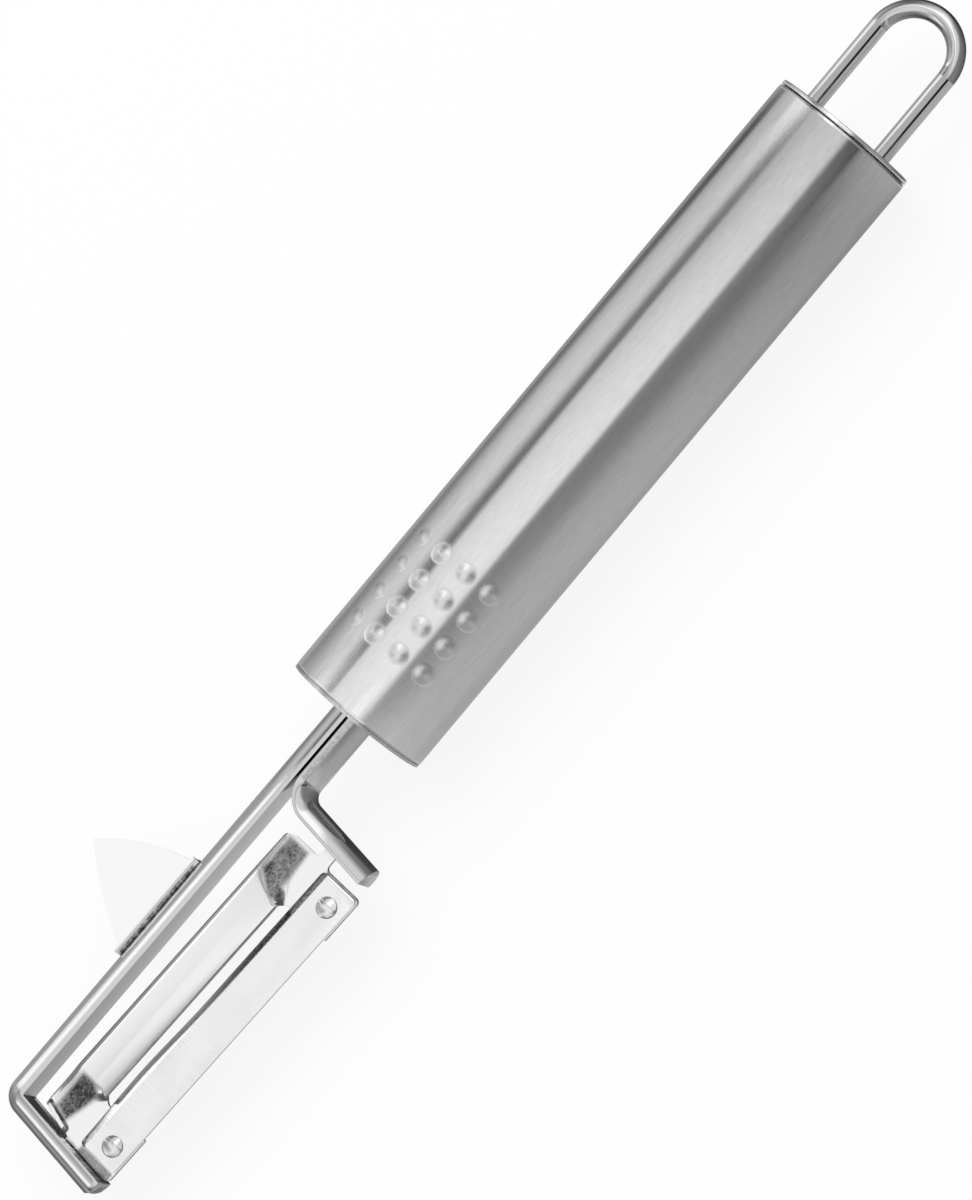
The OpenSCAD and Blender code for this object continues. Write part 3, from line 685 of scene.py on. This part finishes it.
for side in (-1, 1):
    drill(cap, LEG_R + LEG_PLAY, PUNCH_DEPTH, Matrix.Translation((rear_x, side * LEG_Y, 0)))
mark(cap, "drawn", in_seam)
settle(cap, Matrix.Identity(4), "handle", "rear_cap")

# %% [markdown]
# ## The bow's measures
# The bow is one half-round wire, bent cold: folded back on itself inside the handle, then opened into a short arm
# at the heel and a long one that ends in the tip arm. Both arms slant forward, and the blade turns between them on
# a line that leans two degrees. The joint gives that line. From it, each arm's bend and length are worked out, so
# that its flat side ends up where the blade's end needs it.

# %% The bow's measures
WIRE_R, LEG_GAP = box_mm("frame_bow")[1].z, 0.4
SHANK_CROSS, SHANK_IN = 15.0, 24.0
BOW_X, BOW_LEAN = front_x - SHANK_CROSS, math.radians(-0.6)
HEEL_FLAT, TIP_FLAT = 28.3, 26.25
HEEL_BEND_R, TIP_BEND_R = 4.6, 0.3
HEEL_PAST, TIP_PAST = 6.5, 7.4
ARM_SLANT = math.radians(6.2)
BEND = math.pi / 2 - ARM_SLANT

swivel = next(joint for joint in frame["joints"] if joint["name"] == "blade_swivel")
pivot, pivot_dir = Vector(swivel["pos_m"]) / MM, Vector(swivel["axis"]).normalized()
blade_place = Matrix.Translation(pivot) @ Matrix.Rotation(math.atan2(pivot_dir.y, pivot_dir.x), 4, "Z")
bow_place = Matrix.Translation((BOW_X, 0, 0)) @ Matrix.Rotation(BOW_LEAN, 4, "Z")
to_bow = bow_place.inverted()
half_gap = LEG_GAP / 2
fold_x = SHANK_CROSS - SHANK_IN


def arm(reach, leg_y, bend_r, past):
    """Where an arm's bend begins and how long the arm is, from where its flat side meets the swivel's line."""
    flat = to_bow @ (pivot + pivot_dir * reach)
    rise, in_bend = flat.y - leg_y, bend_r * math.tan(BEND / 2)
    return flat.x - rise * math.tan(ARM_SLANT) - in_bend, rise / math.cos(ARM_SLANT) - in_bend + past


heel_bend_x, heel_arm = arm(-HEEL_FLAT, half_gap, HEEL_BEND_R, HEEL_PAST)
tip_bend_x, tip_arm = arm(TIP_FLAT, -half_gap, TIP_BEND_R, TIP_PAST)
print("arms:", round(heel_arm, 2), "and", round(tip_arm, 2), "mm past their bends")

# %% [markdown]
# ## The wire's section
# The wire's section is a half circle with a narrow facet on each side and rounded corners, which give the wire its
# thin bright lines. It could be typed as a list of points, but a disc cut in half, filed twice and beveled at its
# corners says what was done.

# %% The wire's section
FACET_TURN, FACET_OUT = math.radians(5.9), 2.984
CORNER_R = 0.12

bow = start("half_round_bow", bpy.ops.mesh.primitive_circle_add, vertices=96, radius=WIRE_R, fill_type="NGON")
cut((0, 0, 0), (0, 1, 0), clear_outer=True)
for side in (-1, 1):
    facet = Vector((side * math.cos(FACET_TURN), -math.sin(FACET_TURN), 0))
    cut(facet * FACET_OUT, facet, clear_outer=True)
pick(bow, "VERT", lambda m: m.y > -NEAR)
bpy.ops.mesh.bevel(offset=CORNER_R, segments=3, affect="VERTICES")
bpy.ops.mesh.select_all(action="SELECT")
bpy.ops.mesh.delete(type="ONLY_FACE")
reshape(bow, lambda co: Vector((tip_bend_x, co.y - half_gap, co.x)))
print("section:", len(bmesh.from_edit_mesh(bow.data).verts), "points")

# %% [markdown]
# ## Straights and bends
# A curve with a bevel profile would make the bow at once, but spin and extrude show the bends as they are made. The
# section starts at the tip bend: it is spun and pushed up the tip arm, and from the same place pushed back along
# the long arm, folded and bent up into the short arm. Extra rings stand where the skin's marks begin and end,
# because an attribute fades evenly from one ring to the next.

# %% Up the tip arm
TIP_RINGS, TIP_LAST = (1.6, 0.6), 1.0
arm_dir = Vector((math.cos(BEND), math.sin(BEND), 0))


def run(way, length):
    """Pushes the picked ring straight on."""
    bpy.ops.mesh.extrude_region_move(TRANSFORM_OT_translate={"value": way * length})


def bend(x, y, turn, steps):
    """Spins the picked ring round an upright axis; a turn to the left, seen from above, is negative."""
    bpy.ops.mesh.spin(steps=steps, angle=turn, center=(x, y, 0), axis=(0, 0, 1))


bpy.ops.mesh.select_all(action="SELECT")
bend(tip_bend_x, TIP_BEND_R - half_gap, -BEND, 16)
for length in (*TIP_RINGS, tip_arm - sum(TIP_RINGS) - TIP_LAST, TIP_LAST):
    run(arm_dir, length)
print("tip arm:", round(tip_arm, 2), "mm")

# %% Back through the handle and up the short arm
FOOT_ENDS, MARK_EDGE = (83.0, 99.0), 0.3
LONG_RINGS, HEEL_RING = (1.0, 2.4), 0.8

foot_x = [x - BOW_X for x in FOOT_ENDS]
pick(bow, "VERT", lambda m: abs(m.x - tip_bend_x) < NEAR and m.y < 0)
stops = [tip_bend_x, *(tip_bend_x - x for x in LONG_RINGS),
         *(x + d for x in reversed(foot_x) for d in (MARK_EDGE, -MARK_EDGE)), fold_x]
for begin, stop in zip(stops, stops[1:]):
    run(-along, begin - stop)
bend(fold_x, 0, math.pi, 16)
run(along, heel_bend_x - fold_x)
bend(heel_bend_x, HEEL_BEND_R + half_gap, -BEND, 20)
for length in (HEEL_RING, heel_arm - HEEL_RING):
    run(arm_dir, length)
bpy.ops.mesh.select_all(action="SELECT")
bpy.ops.mesh.fill_holes(sides=0)
bpy.ops.mesh.normals_make_consistent(inside=False)
print("wire:", len(bmesh.from_edit_mesh(bow.data).faces), "faces")

# %% [markdown]
# ## The arms' ends
# The wire's ends are sheared and filed. The tip arm's end is rounded on its round side, as by a file, which a bevel
# can't do on one side alone, so its ring is moved back by hand. Then the rims of both ends are beveled a little.
# The ends are the only faces with many sides, and are picked by that.

# %% The arms' ends
END_ROUND, END_BEVEL = 1.5, 0.15
MANY_SIDES = 8
tip_out = Vector((math.sin(BEND), -math.cos(BEND), 0))
tip_end = Vector((tip_bend_x, TIP_BEND_R - half_gap, 0)) + tip_out * TIP_BEND_R + arm_dir * tip_arm


def round_tip(co):
    """The tip arm's free end, cut back on its round side."""
    past = (co - tip_end).dot(tip_out) - (WIRE_R - END_ROUND)
    if abs((co - tip_end).dot(arm_dir)) > NEAR or past <= 0:
        return co
    return co - arm_dir * (END_ROUND - math.sqrt(max(END_ROUND ** 2 - past ** 2, 0)))


reshape(bow, round_tip)
bpy.context.tool_settings.mesh_select_mode = (False, False, True)
bpy.ops.mesh.select_face_by_sides(number=MANY_SIDES, type="GREATER", extend=False)
bpy.ops.mesh.region_to_loop()
bpy.ops.mesh.bevel(offset=END_BEVEL, segments=2, affect="EDGES")
bpy.ops.object.mode_set(mode="OBJECT")
bow.data.transform(bow_place)
print("bow:", round(max(v.co.x for v in bow.data.vertices), 2), "mm at its far end")

# %% [markdown]
# ## Pivot holes, creases and painted shade
# Each arm is drilled from its flat side, on the swivel's line, for the carrier's tongues. Then the skin is marked
# for the darkening: creased and dull inside the hard bends, with painted shade there, painted shade and reflection on
# the tip arm's inner side and its filed end, and painted shade in the crevice where the eye cutter's foot is welded
# on.

# %% Pivot holes
HOLE_R, HOLE_DEPTH = 1.15, 2.8

for reach in (-HEEL_FLAT, TIP_FLAT):
    drill(bow, HOLE_R, 2 * HOLE_DEPTH, blade_place @ Matrix.Translation((reach, 0, 0)))
print("pivot holes:", 2 * HOLE_R, "mm wide,", HOLE_DEPTH, "mm deep")

# %% Creases and painted shade
# Each creased and shaded place: where it is, how far it reaches, and how dark its painted shade gets
SHADED_CREASES = [
    (Vector((tip_bend_x - 0.6, 0, 0.5)), 1.8, 0.9),
    (Vector((heel_bend_x - 0.6, half_gap + 0.6, 2.8)), 0.9, 0.8),
    (tip_end, 1.6, 0.7),
]
# Painted shade and reflection along the tip arm's inner side, and painted shade in the crevice by the eye cutter's
# foot
INNER_SHADE, INNER_FROM, INNER_T = 0.9, 2.0, 0.03
CREVICE_SHADE, WELD_MORE, WELD_BELOW, WELD_HALF = 0.95, 0.1, -2.2, 1.8


def worked_skin(vertex):
    """How creased and dull the wire's skin is, with its painted shade: 0 polished, 1 quite dark."""
    co = to_bow @ vertex.co
    crease_shade = max(depth * eased(2 - 2 * (co - place).length / reach) for place, reach, depth in SHADED_CREASES)
    up_arm = (co - Vector((tip_bend_x, 0, 0))).dot(arm_dir)
    inner = INNER_SHADE * eased(up_arm - INNER_FROM) if abs((co - tip_end).dot(tip_out)) < INNER_T else 0
    on_foot = foot_x[0] - WELD_MORE < co.x < foot_x[1] + WELD_MORE
    crevice_shade = CREVICE_SHADE if on_foot and co.y < WELD_BELOW and abs(co.z) < WELD_HALF else 0
    return max(crease_shade, inner, crevice_shade)


mark(bow, "worked", worked_skin)
settle(bow, Matrix.Identity(4), "handle", "frame_bow")

# %% [markdown]
# ## The carrier's plan
# The carrier is one stamping: a C of sheet with a guard rail for its back, two pads for its arms, and a tongue on
# each end that turns in the bow. Its plan could be drawn as a curve and filled, but faces are easier to follow: a
# plane is cut by straight lines, the slot is taken out, and the tongues are pushed out of the ends.

# %% The carrier's plan
GUARD_OUT, BLADE_OUT = 6.55, 7.65
RAIL_EDGE, SLOT_END = 0.45, 18.65
HEEL_END, TIP_END = -26.5, 25.75
TONGUE_HALF, TONGUE_ENDS = 1.0247, (-30.95, 28.9)

carrier = start("stamped_carrier", bpy.ops.mesh.primitive_plane_add, size=1)
reshape(carrier, lambda co: Vector((HEEL_END if co.x < 0 else TIP_END, -GUARD_OUT if co.y < 0 else BLADE_OUT, 0)))
for y in (-RAIL_EDGE, TONGUE_HALF, -TONGUE_HALF):
    cut((0, y, 0), (0, 1, 0))
for x in (-SLOT_END, SLOT_END):
    cut((x, 0, 0), (1, 0, 0))
pick(carrier, "FACE", lambda m: abs(m.x) < SLOT_END and m.y > -RAIL_EDGE)
bpy.ops.mesh.delete(type="FACE")
for end, stop in zip((HEEL_END, TIP_END), TONGUE_ENDS):
    pick(carrier, "EDGE", lambda m: abs(m.x - end) < NEAR and abs(m.y) < TONGUE_HALF)
    bpy.ops.mesh.extrude_region_move(TRANSFORM_OT_translate={"value": (stop - end, 0, 0)})
print("carrier:", TIP_END - HEEL_END, "mm without its tongues")

# %% [markdown]
# ## Its ends and corners
# The heel pad steps back a little on the blade's side, and the tip pad slants away on the guard's side so that it
# clears the arm. A few vertices are moved for that. Then each corner is beveled to its own radius, as the punch
# left it.

# %% The carrier's ends
HEEL_END_BLADE, TIP_END_BLADE, TIP_CORNER = -25.95, 26.15, 26.6
END_SLANT = math.radians(15)
end_drop = (GUARD_OUT - TONGUE_HALF) * math.tan(END_SLANT)


def trim(co):
    """The heel pad's step back at its blade side, and the slant of the tip pad's guard half."""
    blade_side = co.y > TONGUE_HALF - NEAR
    if abs(co.x - HEEL_END) < NEAR and blade_side:
        return Vector((HEEL_END_BLADE, co.y, 0))
    if abs(co.x - TIP_END) < NEAR and blade_side:
        return Vector((TIP_CORNER if co.y > BLADE_OUT - NEAR else TIP_END_BLADE, co.y, 0))
    if abs(co.x - TIP_END) < NEAR and co.y < -TONGUE_HALF - NEAR:
        return Vector((TIP_END - end_drop, co.y, 0))
    return co


reshape(carrier, trim)
bpy.ops.mesh.select_all(action="SELECT")
bpy.ops.mesh.dissolve_limited(angle_limit=math.radians(1))
print("tip pad's slant:", round(end_drop, 2), "mm back at the guard's side")

# %% The carrier's corners
# Each corner: where it is, and its radius
CORNERS = [(HEEL_END, -GUARD_OUT, 1.3), (HEEL_END_BLADE, BLADE_OUT, 0.8), (TIP_END - end_drop, -GUARD_OUT, 0.8),
           (TIP_CORNER, BLADE_OUT, 0.8), (-SLOT_END, -RAIL_EDGE, 1.2), (SLOT_END, -RAIL_EDGE, 1.2),
           (HEEL_END_BLADE, TONGUE_HALF, 0.7), (HEEL_END, -TONGUE_HALF, 0.7)]
for x, y, radius in CORNERS:
    pick(carrier, "VERT", lambda m: abs(m.x - x) < NEAR and abs(m.y - y) < NEAR)
    bpy.ops.mesh.bevel(offset=radius, segments=5, affect="VERTICES")
print("corners rounded:", len(CORNERS))

# %% [markdown]
# ## Steps, lip and rolled edge
# Beyond the slot the sheet is drawn down from the rail to each pad in a smooth step that fans out round the slot's
# corner. The tip pad's slanted end is turned up as a lip, and the outer edge is rolled down. A cloth or lattice could
# bend the sheet, but these bends are plain formulas, so a grid of cuts gives the metal vertices to follow them with.

# %% Cuts for the bends to follow
FINE, STEP_START = 0.3, SLOT_END - 1.4
LIP_FOOT, LIP_CUTS, LIP_FINE = 0.65, 6, 0.1

end_out = Vector((math.cos(END_SLANT), -math.sin(END_SLANT), 0))
lip_start = Vector((TIP_END, -TONGUE_HALF, 0))
for i in range(1, int((GUARD_OUT + BLADE_OUT) / FINE) + 1):
    cut((0, -GUARD_OUT + FINE * i, 0), (0, 1, 0))
for i in range(int((TIP_CORNER - STEP_START) / FINE) + 1):
    for side in (-1, 1):
        cut((side * (STEP_START + FINE * i), 0, 0), (1, 0, 0))
for i in range(LIP_CUTS):
    cut(lip_start - end_out * (LIP_FOOT - LIP_FINE * i), end_out)
print("sheet grid:", len(bmesh.from_edit_mesh(carrier.data).verts), "vertices")

# %% Steps, lip and rolled edge
RAIL_LIFT = 1.4
# Each fan: its middle, and the turns from the guard's side at which the rail ends and the pad begins
HEEL_FAN = (Vector((-17.45, 0.0)), math.radians(13), math.radians(74))
TIP_FAN = (Vector((17.45, 0.0)), math.radians(-3), math.radians(72))
LIP_RISE, LIP_BEND = 0.9, 0.3
# The lip along the tip pad's edge: where it begins and ends, and over what length it rises there
LIP_Y, LIP_EASE = (-6.3, -1.6), (0.6, 0.8)
ROLL_DROP, ROLL_WIDTH, ROLL_WIDER, ROLL_EASE = 0.2, 0.4, 0.8, 4.0


def lifted(co):
    """The sheet's height: up along the rail, down over each step, flat on the pads and the tongues."""
    fan, rail_turn, pad_turn = HEEL_FAN if co.x < 0 else TIP_FAN
    turn = math.atan2(abs(co.x) - abs(fan.x), fan.y - co.y)
    up = 1 - eased((turn - rail_turn) / (pad_turn - rail_turn))
    across = (min(co.y, -RAIL_EDGE) + GUARD_OUT) / (GUARD_OUT - RAIL_EDGE)
    lip = eased((LIP_FOOT - (co - lip_start).dot(-end_out)) / LIP_BEND) if co.x > SLOT_END else 0
    lip *= eased((LIP_Y[1] - co.y) / LIP_EASE[1]) * eased((co.y - LIP_Y[0]) / LIP_EASE[0])
    roll = ROLL_WIDTH + ROLL_WIDER * eased((co.x - SLOT_END) / ROLL_EASE + 0.5)
    rolled = ROLL_DROP * eased((roll - GUARD_OUT - co.y) / roll)
    return Vector((co.x, co.y, RAIL_LIFT * up * across + LIP_RISE * lip - rolled))


reshape(carrier, lifted)
print("rail", RAIL_LIFT, "mm up, lip", LIP_RISE, "mm up")

# %% [markdown]
# ## The sheet's thickness, its dull patches and painted shade
# Solidify gives the sheet its thickness and a bevel takes off its sharp edges. Patches are marked by outlines in the
# carrier's plan: two on the heel's step, one on the tip's, the pads' ends and the tip's tongue. There the sheet is
# duller, and its colour is darkened as painted shade and painted reflection. The cut edges are duller than its faces
# and painted darker as shade, too.

# %% Thickness
SHEET_T, SHEET_EDGE = 0.8, 0.25

finish_mesh()
modify(carrier, "SOLIDIFY", thickness=SHEET_T, offset=0.0, use_even_offset=True)
modify(carrier, "BEVEL", width=SHEET_EDGE, segments=3, limit_method="ANGLE", angle_limit=math.radians(50))
print("sheet:", SHEET_T, "mm thick")

# %% Dull patches and painted shade
# Each patch: its corners going round to the left, how softly it ends in mm, and how dull it is, which also sets its
# painted shade
SHADE_PATCHES = [
    ([(-26.4, -6.4), (-19.6, -6.3), (-18.6, -1.2), (-26.4, -1.9)], 0.9, 0.78),
    ([(-22.4, -6.1), (-19.9, -6.1), (-17.6, -2.3), (-17.7, -0.5), (-19.8, -0.9)], 0.6, 0.85),
    ([(25.1, 1.3), (27.0, 1.3), (27.0, 7.6), (25.1, 7.6)], 0.2, 0.65),
    ([(-26.4, 1.2), (-25.3, 1.2), (-25.3, 7.5), (-26.4, 7.5)], 0.2, 0.7),
    ([(25.9, -1.1), (29.0, -1.1), (29.0, 1.1), (25.9, 1.1)], 0.3, 0.95),
    ([(17.2, -5.9), (24.0, -5.7), (25.1, -2.0), (20.7, -1.3), (18.0, -0.6), (17.0, -3.3)], 1.1, 0.95),
]
# The cut edges get painted shade by how far their faces turn sideways
EDGE_SHADE, EDGE_NORMAL, EDGE_SOFT = 0.55, 0.95, 0.3


def inside(co, corners, soft):
    """How far a place is inside a convex outline: 0 on it, and 1 from soft mm in."""
    depth = soft
    for start_at, end_at in zip(corners, corners[1:] + corners[:1]):
        edge = Vector(end_at) - Vector(start_at)
        depth = min(depth, edge.normalized().cross(co.xy - Vector(start_at)))
    return eased(depth / soft)


def dull_and_shaded(vertex):
    """How dull the sheet is and how dark its painted shade: most in a patch, less on the edges, and polished
    elsewhere.
    """
    patch = max(dull_and_shade * inside(vertex.co, corners, soft) for corners, soft, dull_and_shade in SHADE_PATCHES)
    return max(patch, EDGE_SHADE * eased((EDGE_NORMAL - abs(vertex.normal.z)) / EDGE_SOFT))


mark(carrier, "drawn", dull_and_shaded)
settle(carrier, blade_place, "blade", "blade_carrier")

# %% [markdown]
# ## Blade strip
# The strip is a ribbon of blade steel, riveted on the pads. Its edge towards the rail is ground from above, and a
# little deeper towards the tip, so that the edge bows out there. It could be a box with one edge beveled, but that
# bevel would be straight. A box is cut where the grinding starts, and its top falls from there to a thin edge.

# %% The strip's box
STRIP_X, STRIP_Y, STRIP_Z = (-25.6, 25.1), (0.95, 7.5), (0.4, 1.0)
STRIP_CORNER, STRIP_FINE, END_SUPPORT = 0.6, 2.0, 0.3
BEVEL_W, BEVEL_LINE = 1.05, 0.08
bevel_y = STRIP_Y[0] + BEVEL_W

strip = start("ground_strip", bpy.ops.mesh.primitive_cube_add, size=1)
reshape(strip, lambda co: Vector((STRIP_X[co.x > 0], STRIP_Y[co.y > 0], STRIP_Z[co.z > 0])))
pick(strip, "EDGE", lambda m: abs(m.z - sum(STRIP_Z) / 2) < NEAR)
bpy.ops.mesh.bevel(offset=STRIP_CORNER, segments=5, affect="EDGES")
for y in (bevel_y, bevel_y - BEVEL_LINE):
    cut((0, y, 0), (0, 1, 0))
crosses = [STRIP_X[0] + STRIP_FINE * i for i in range(1, int((STRIP_X[1] - STRIP_X[0]) / STRIP_FINE) + 1)]
for x in (STRIP_X[0] + END_SUPPORT, *crosses, STRIP_X[1] - END_SUPPORT):
    cut((x, 0, 0), (1, 0, 0))
print("strip:", round(STRIP_X[1] - STRIP_X[0], 2), "mm long,", len(crosses), "cuts")

# %% The ground edge
EDGE_T, STRIP_EDGE = 0.06, 0.06
BOW_MIDDLE, BOW_REACH, BOW_OUT = 12.0, 13.0, 0.33
# The bevel is darker along its heel's half and again, half as strong, at its tip
DARK_HEEL, DARK_HEEL_EASE, DARK_TIP, DARK_TIP_EASE = 4.0, 16.0, 18.0, 4.0
DARK_SOFT = 0.07


def ground_down(co):
    """The bevel: the top falls towards the cutting edge, which bows out towards the tip."""
    depth = max(bevel_y - co.y, 0) / BEVEL_W
    bowed = BOW_OUT * eased(1 - abs(co.x - BOW_MIDDLE) / BOW_REACH)
    fall = depth * (STRIP_Z[1] - STRIP_Z[0] - EDGE_T) if co.z > STRIP_Z[1] - NEAR else 0
    return Vector((co.x, co.y - bowed * depth, co.z - fall))


def bevel_darkness(vertex):
    """How much darker the bevel is."""
    co = vertex.co
    along_edge = eased((DARK_HEEL - co.x) / DARK_HEEL_EASE) + 0.5 * eased((co.x - DARK_TIP) / DARK_TIP_EASE)
    return along_edge * eased((bevel_y - co.y) / DARK_SOFT)


reshape(strip, ground_down)
bpy.ops.object.mode_set(mode="OBJECT")
modify(strip, "BEVEL", width=STRIP_EDGE, segments=2, limit_method="ANGLE", angle_limit=math.radians(50))
mark(strip, "bevel_dark", bevel_darkness)
settle(strip, blade_place, "blade", "blade_strip")

# %% [markdown]
# ## Rivets
# A rivet's head is pressed into a low dome with a thin rim, and its tail is spread under the carrier. A squashed
# ball would show no rim, so a ring is pushed up and drawn in step by step, as a press does. One rivet is modelled,
# and the other is a copy with its own mesh, turned so that the dents of the two differ.

# %% One rivet
SHANK_R = 0.92
# Head and tail: each step's radius, and its height above the strip or below the carrier
HEAD = [(1.55, 0.0), (1.55, 0.10), (1.48, 0.17), (1.35, 0.22), (1.1, 0.32), (0.75, 0.41), (0.4, 0.45), (0.12, 0.465)]
TAIL = [(1.35, 0.0), (1.3, -0.3), (1.0, -0.4)]


def push(steps, level, last_r):
    """Extrudes the picked ring through a list of radii and heights, and closes it."""
    height = level
    for radius, rise in steps:
        bpy.ops.mesh.extrude_region_move(TRANSFORM_OT_translate={"value": (0, 0, level + rise - height)})
        bpy.ops.transform.resize(value=[radius / last_r] * 2 + [1])
        height, last_r = level + rise, radius
    bpy.ops.mesh.fill_holes(sides=0)


rivet = start("headed_rivet", bpy.ops.mesh.primitive_circle_add, vertices=40, radius=SHANK_R, fill_type="NOTHING")
bpy.ops.mesh.extrude_region_move(TRANSFORM_OT_translate={"value": (0, 0, STRIP_Z[1])})
push(HEAD, STRIP_Z[1], SHANK_R)
pick(rivet, "VERT", lambda m: abs(m.z) < NEAR)
bpy.ops.transform.translate(value=(0, 0, -SHEET_T / 2))
push(TAIL, -SHEET_T / 2, SHANK_R)
finish_mesh()
print("rivet head:", 2 * HEAD[0][0], "mm across")

# %% Both rivets
RIVET_X, RIVET_Y = (-22.25, 22.25), 4.9
TURN_PER_MM = 9

second = rivet.copy()
second.data = rivet.data.copy()
second.name = "headed_rivet_tip"
bpy.context.collection.objects.link(second)
for piece, x, stands_for in ((rivet, RIVET_X[0], "rivet_heel"), (second, RIVET_X[1], "rivet_tip")):
    turned = Matrix.Rotation(math.radians(x * TURN_PER_MM), 4, "Z")
    settle(piece, blade_place @ Matrix.Translation((x, RIVET_Y, 0)) @ turned, "blade", stands_for)

# %% [markdown]
# ## Colour
# Standard colours keep white paper white, where a film look would grey it.

# %% Colour
bpy.context.scene.view_settings.view_transform = "Standard"
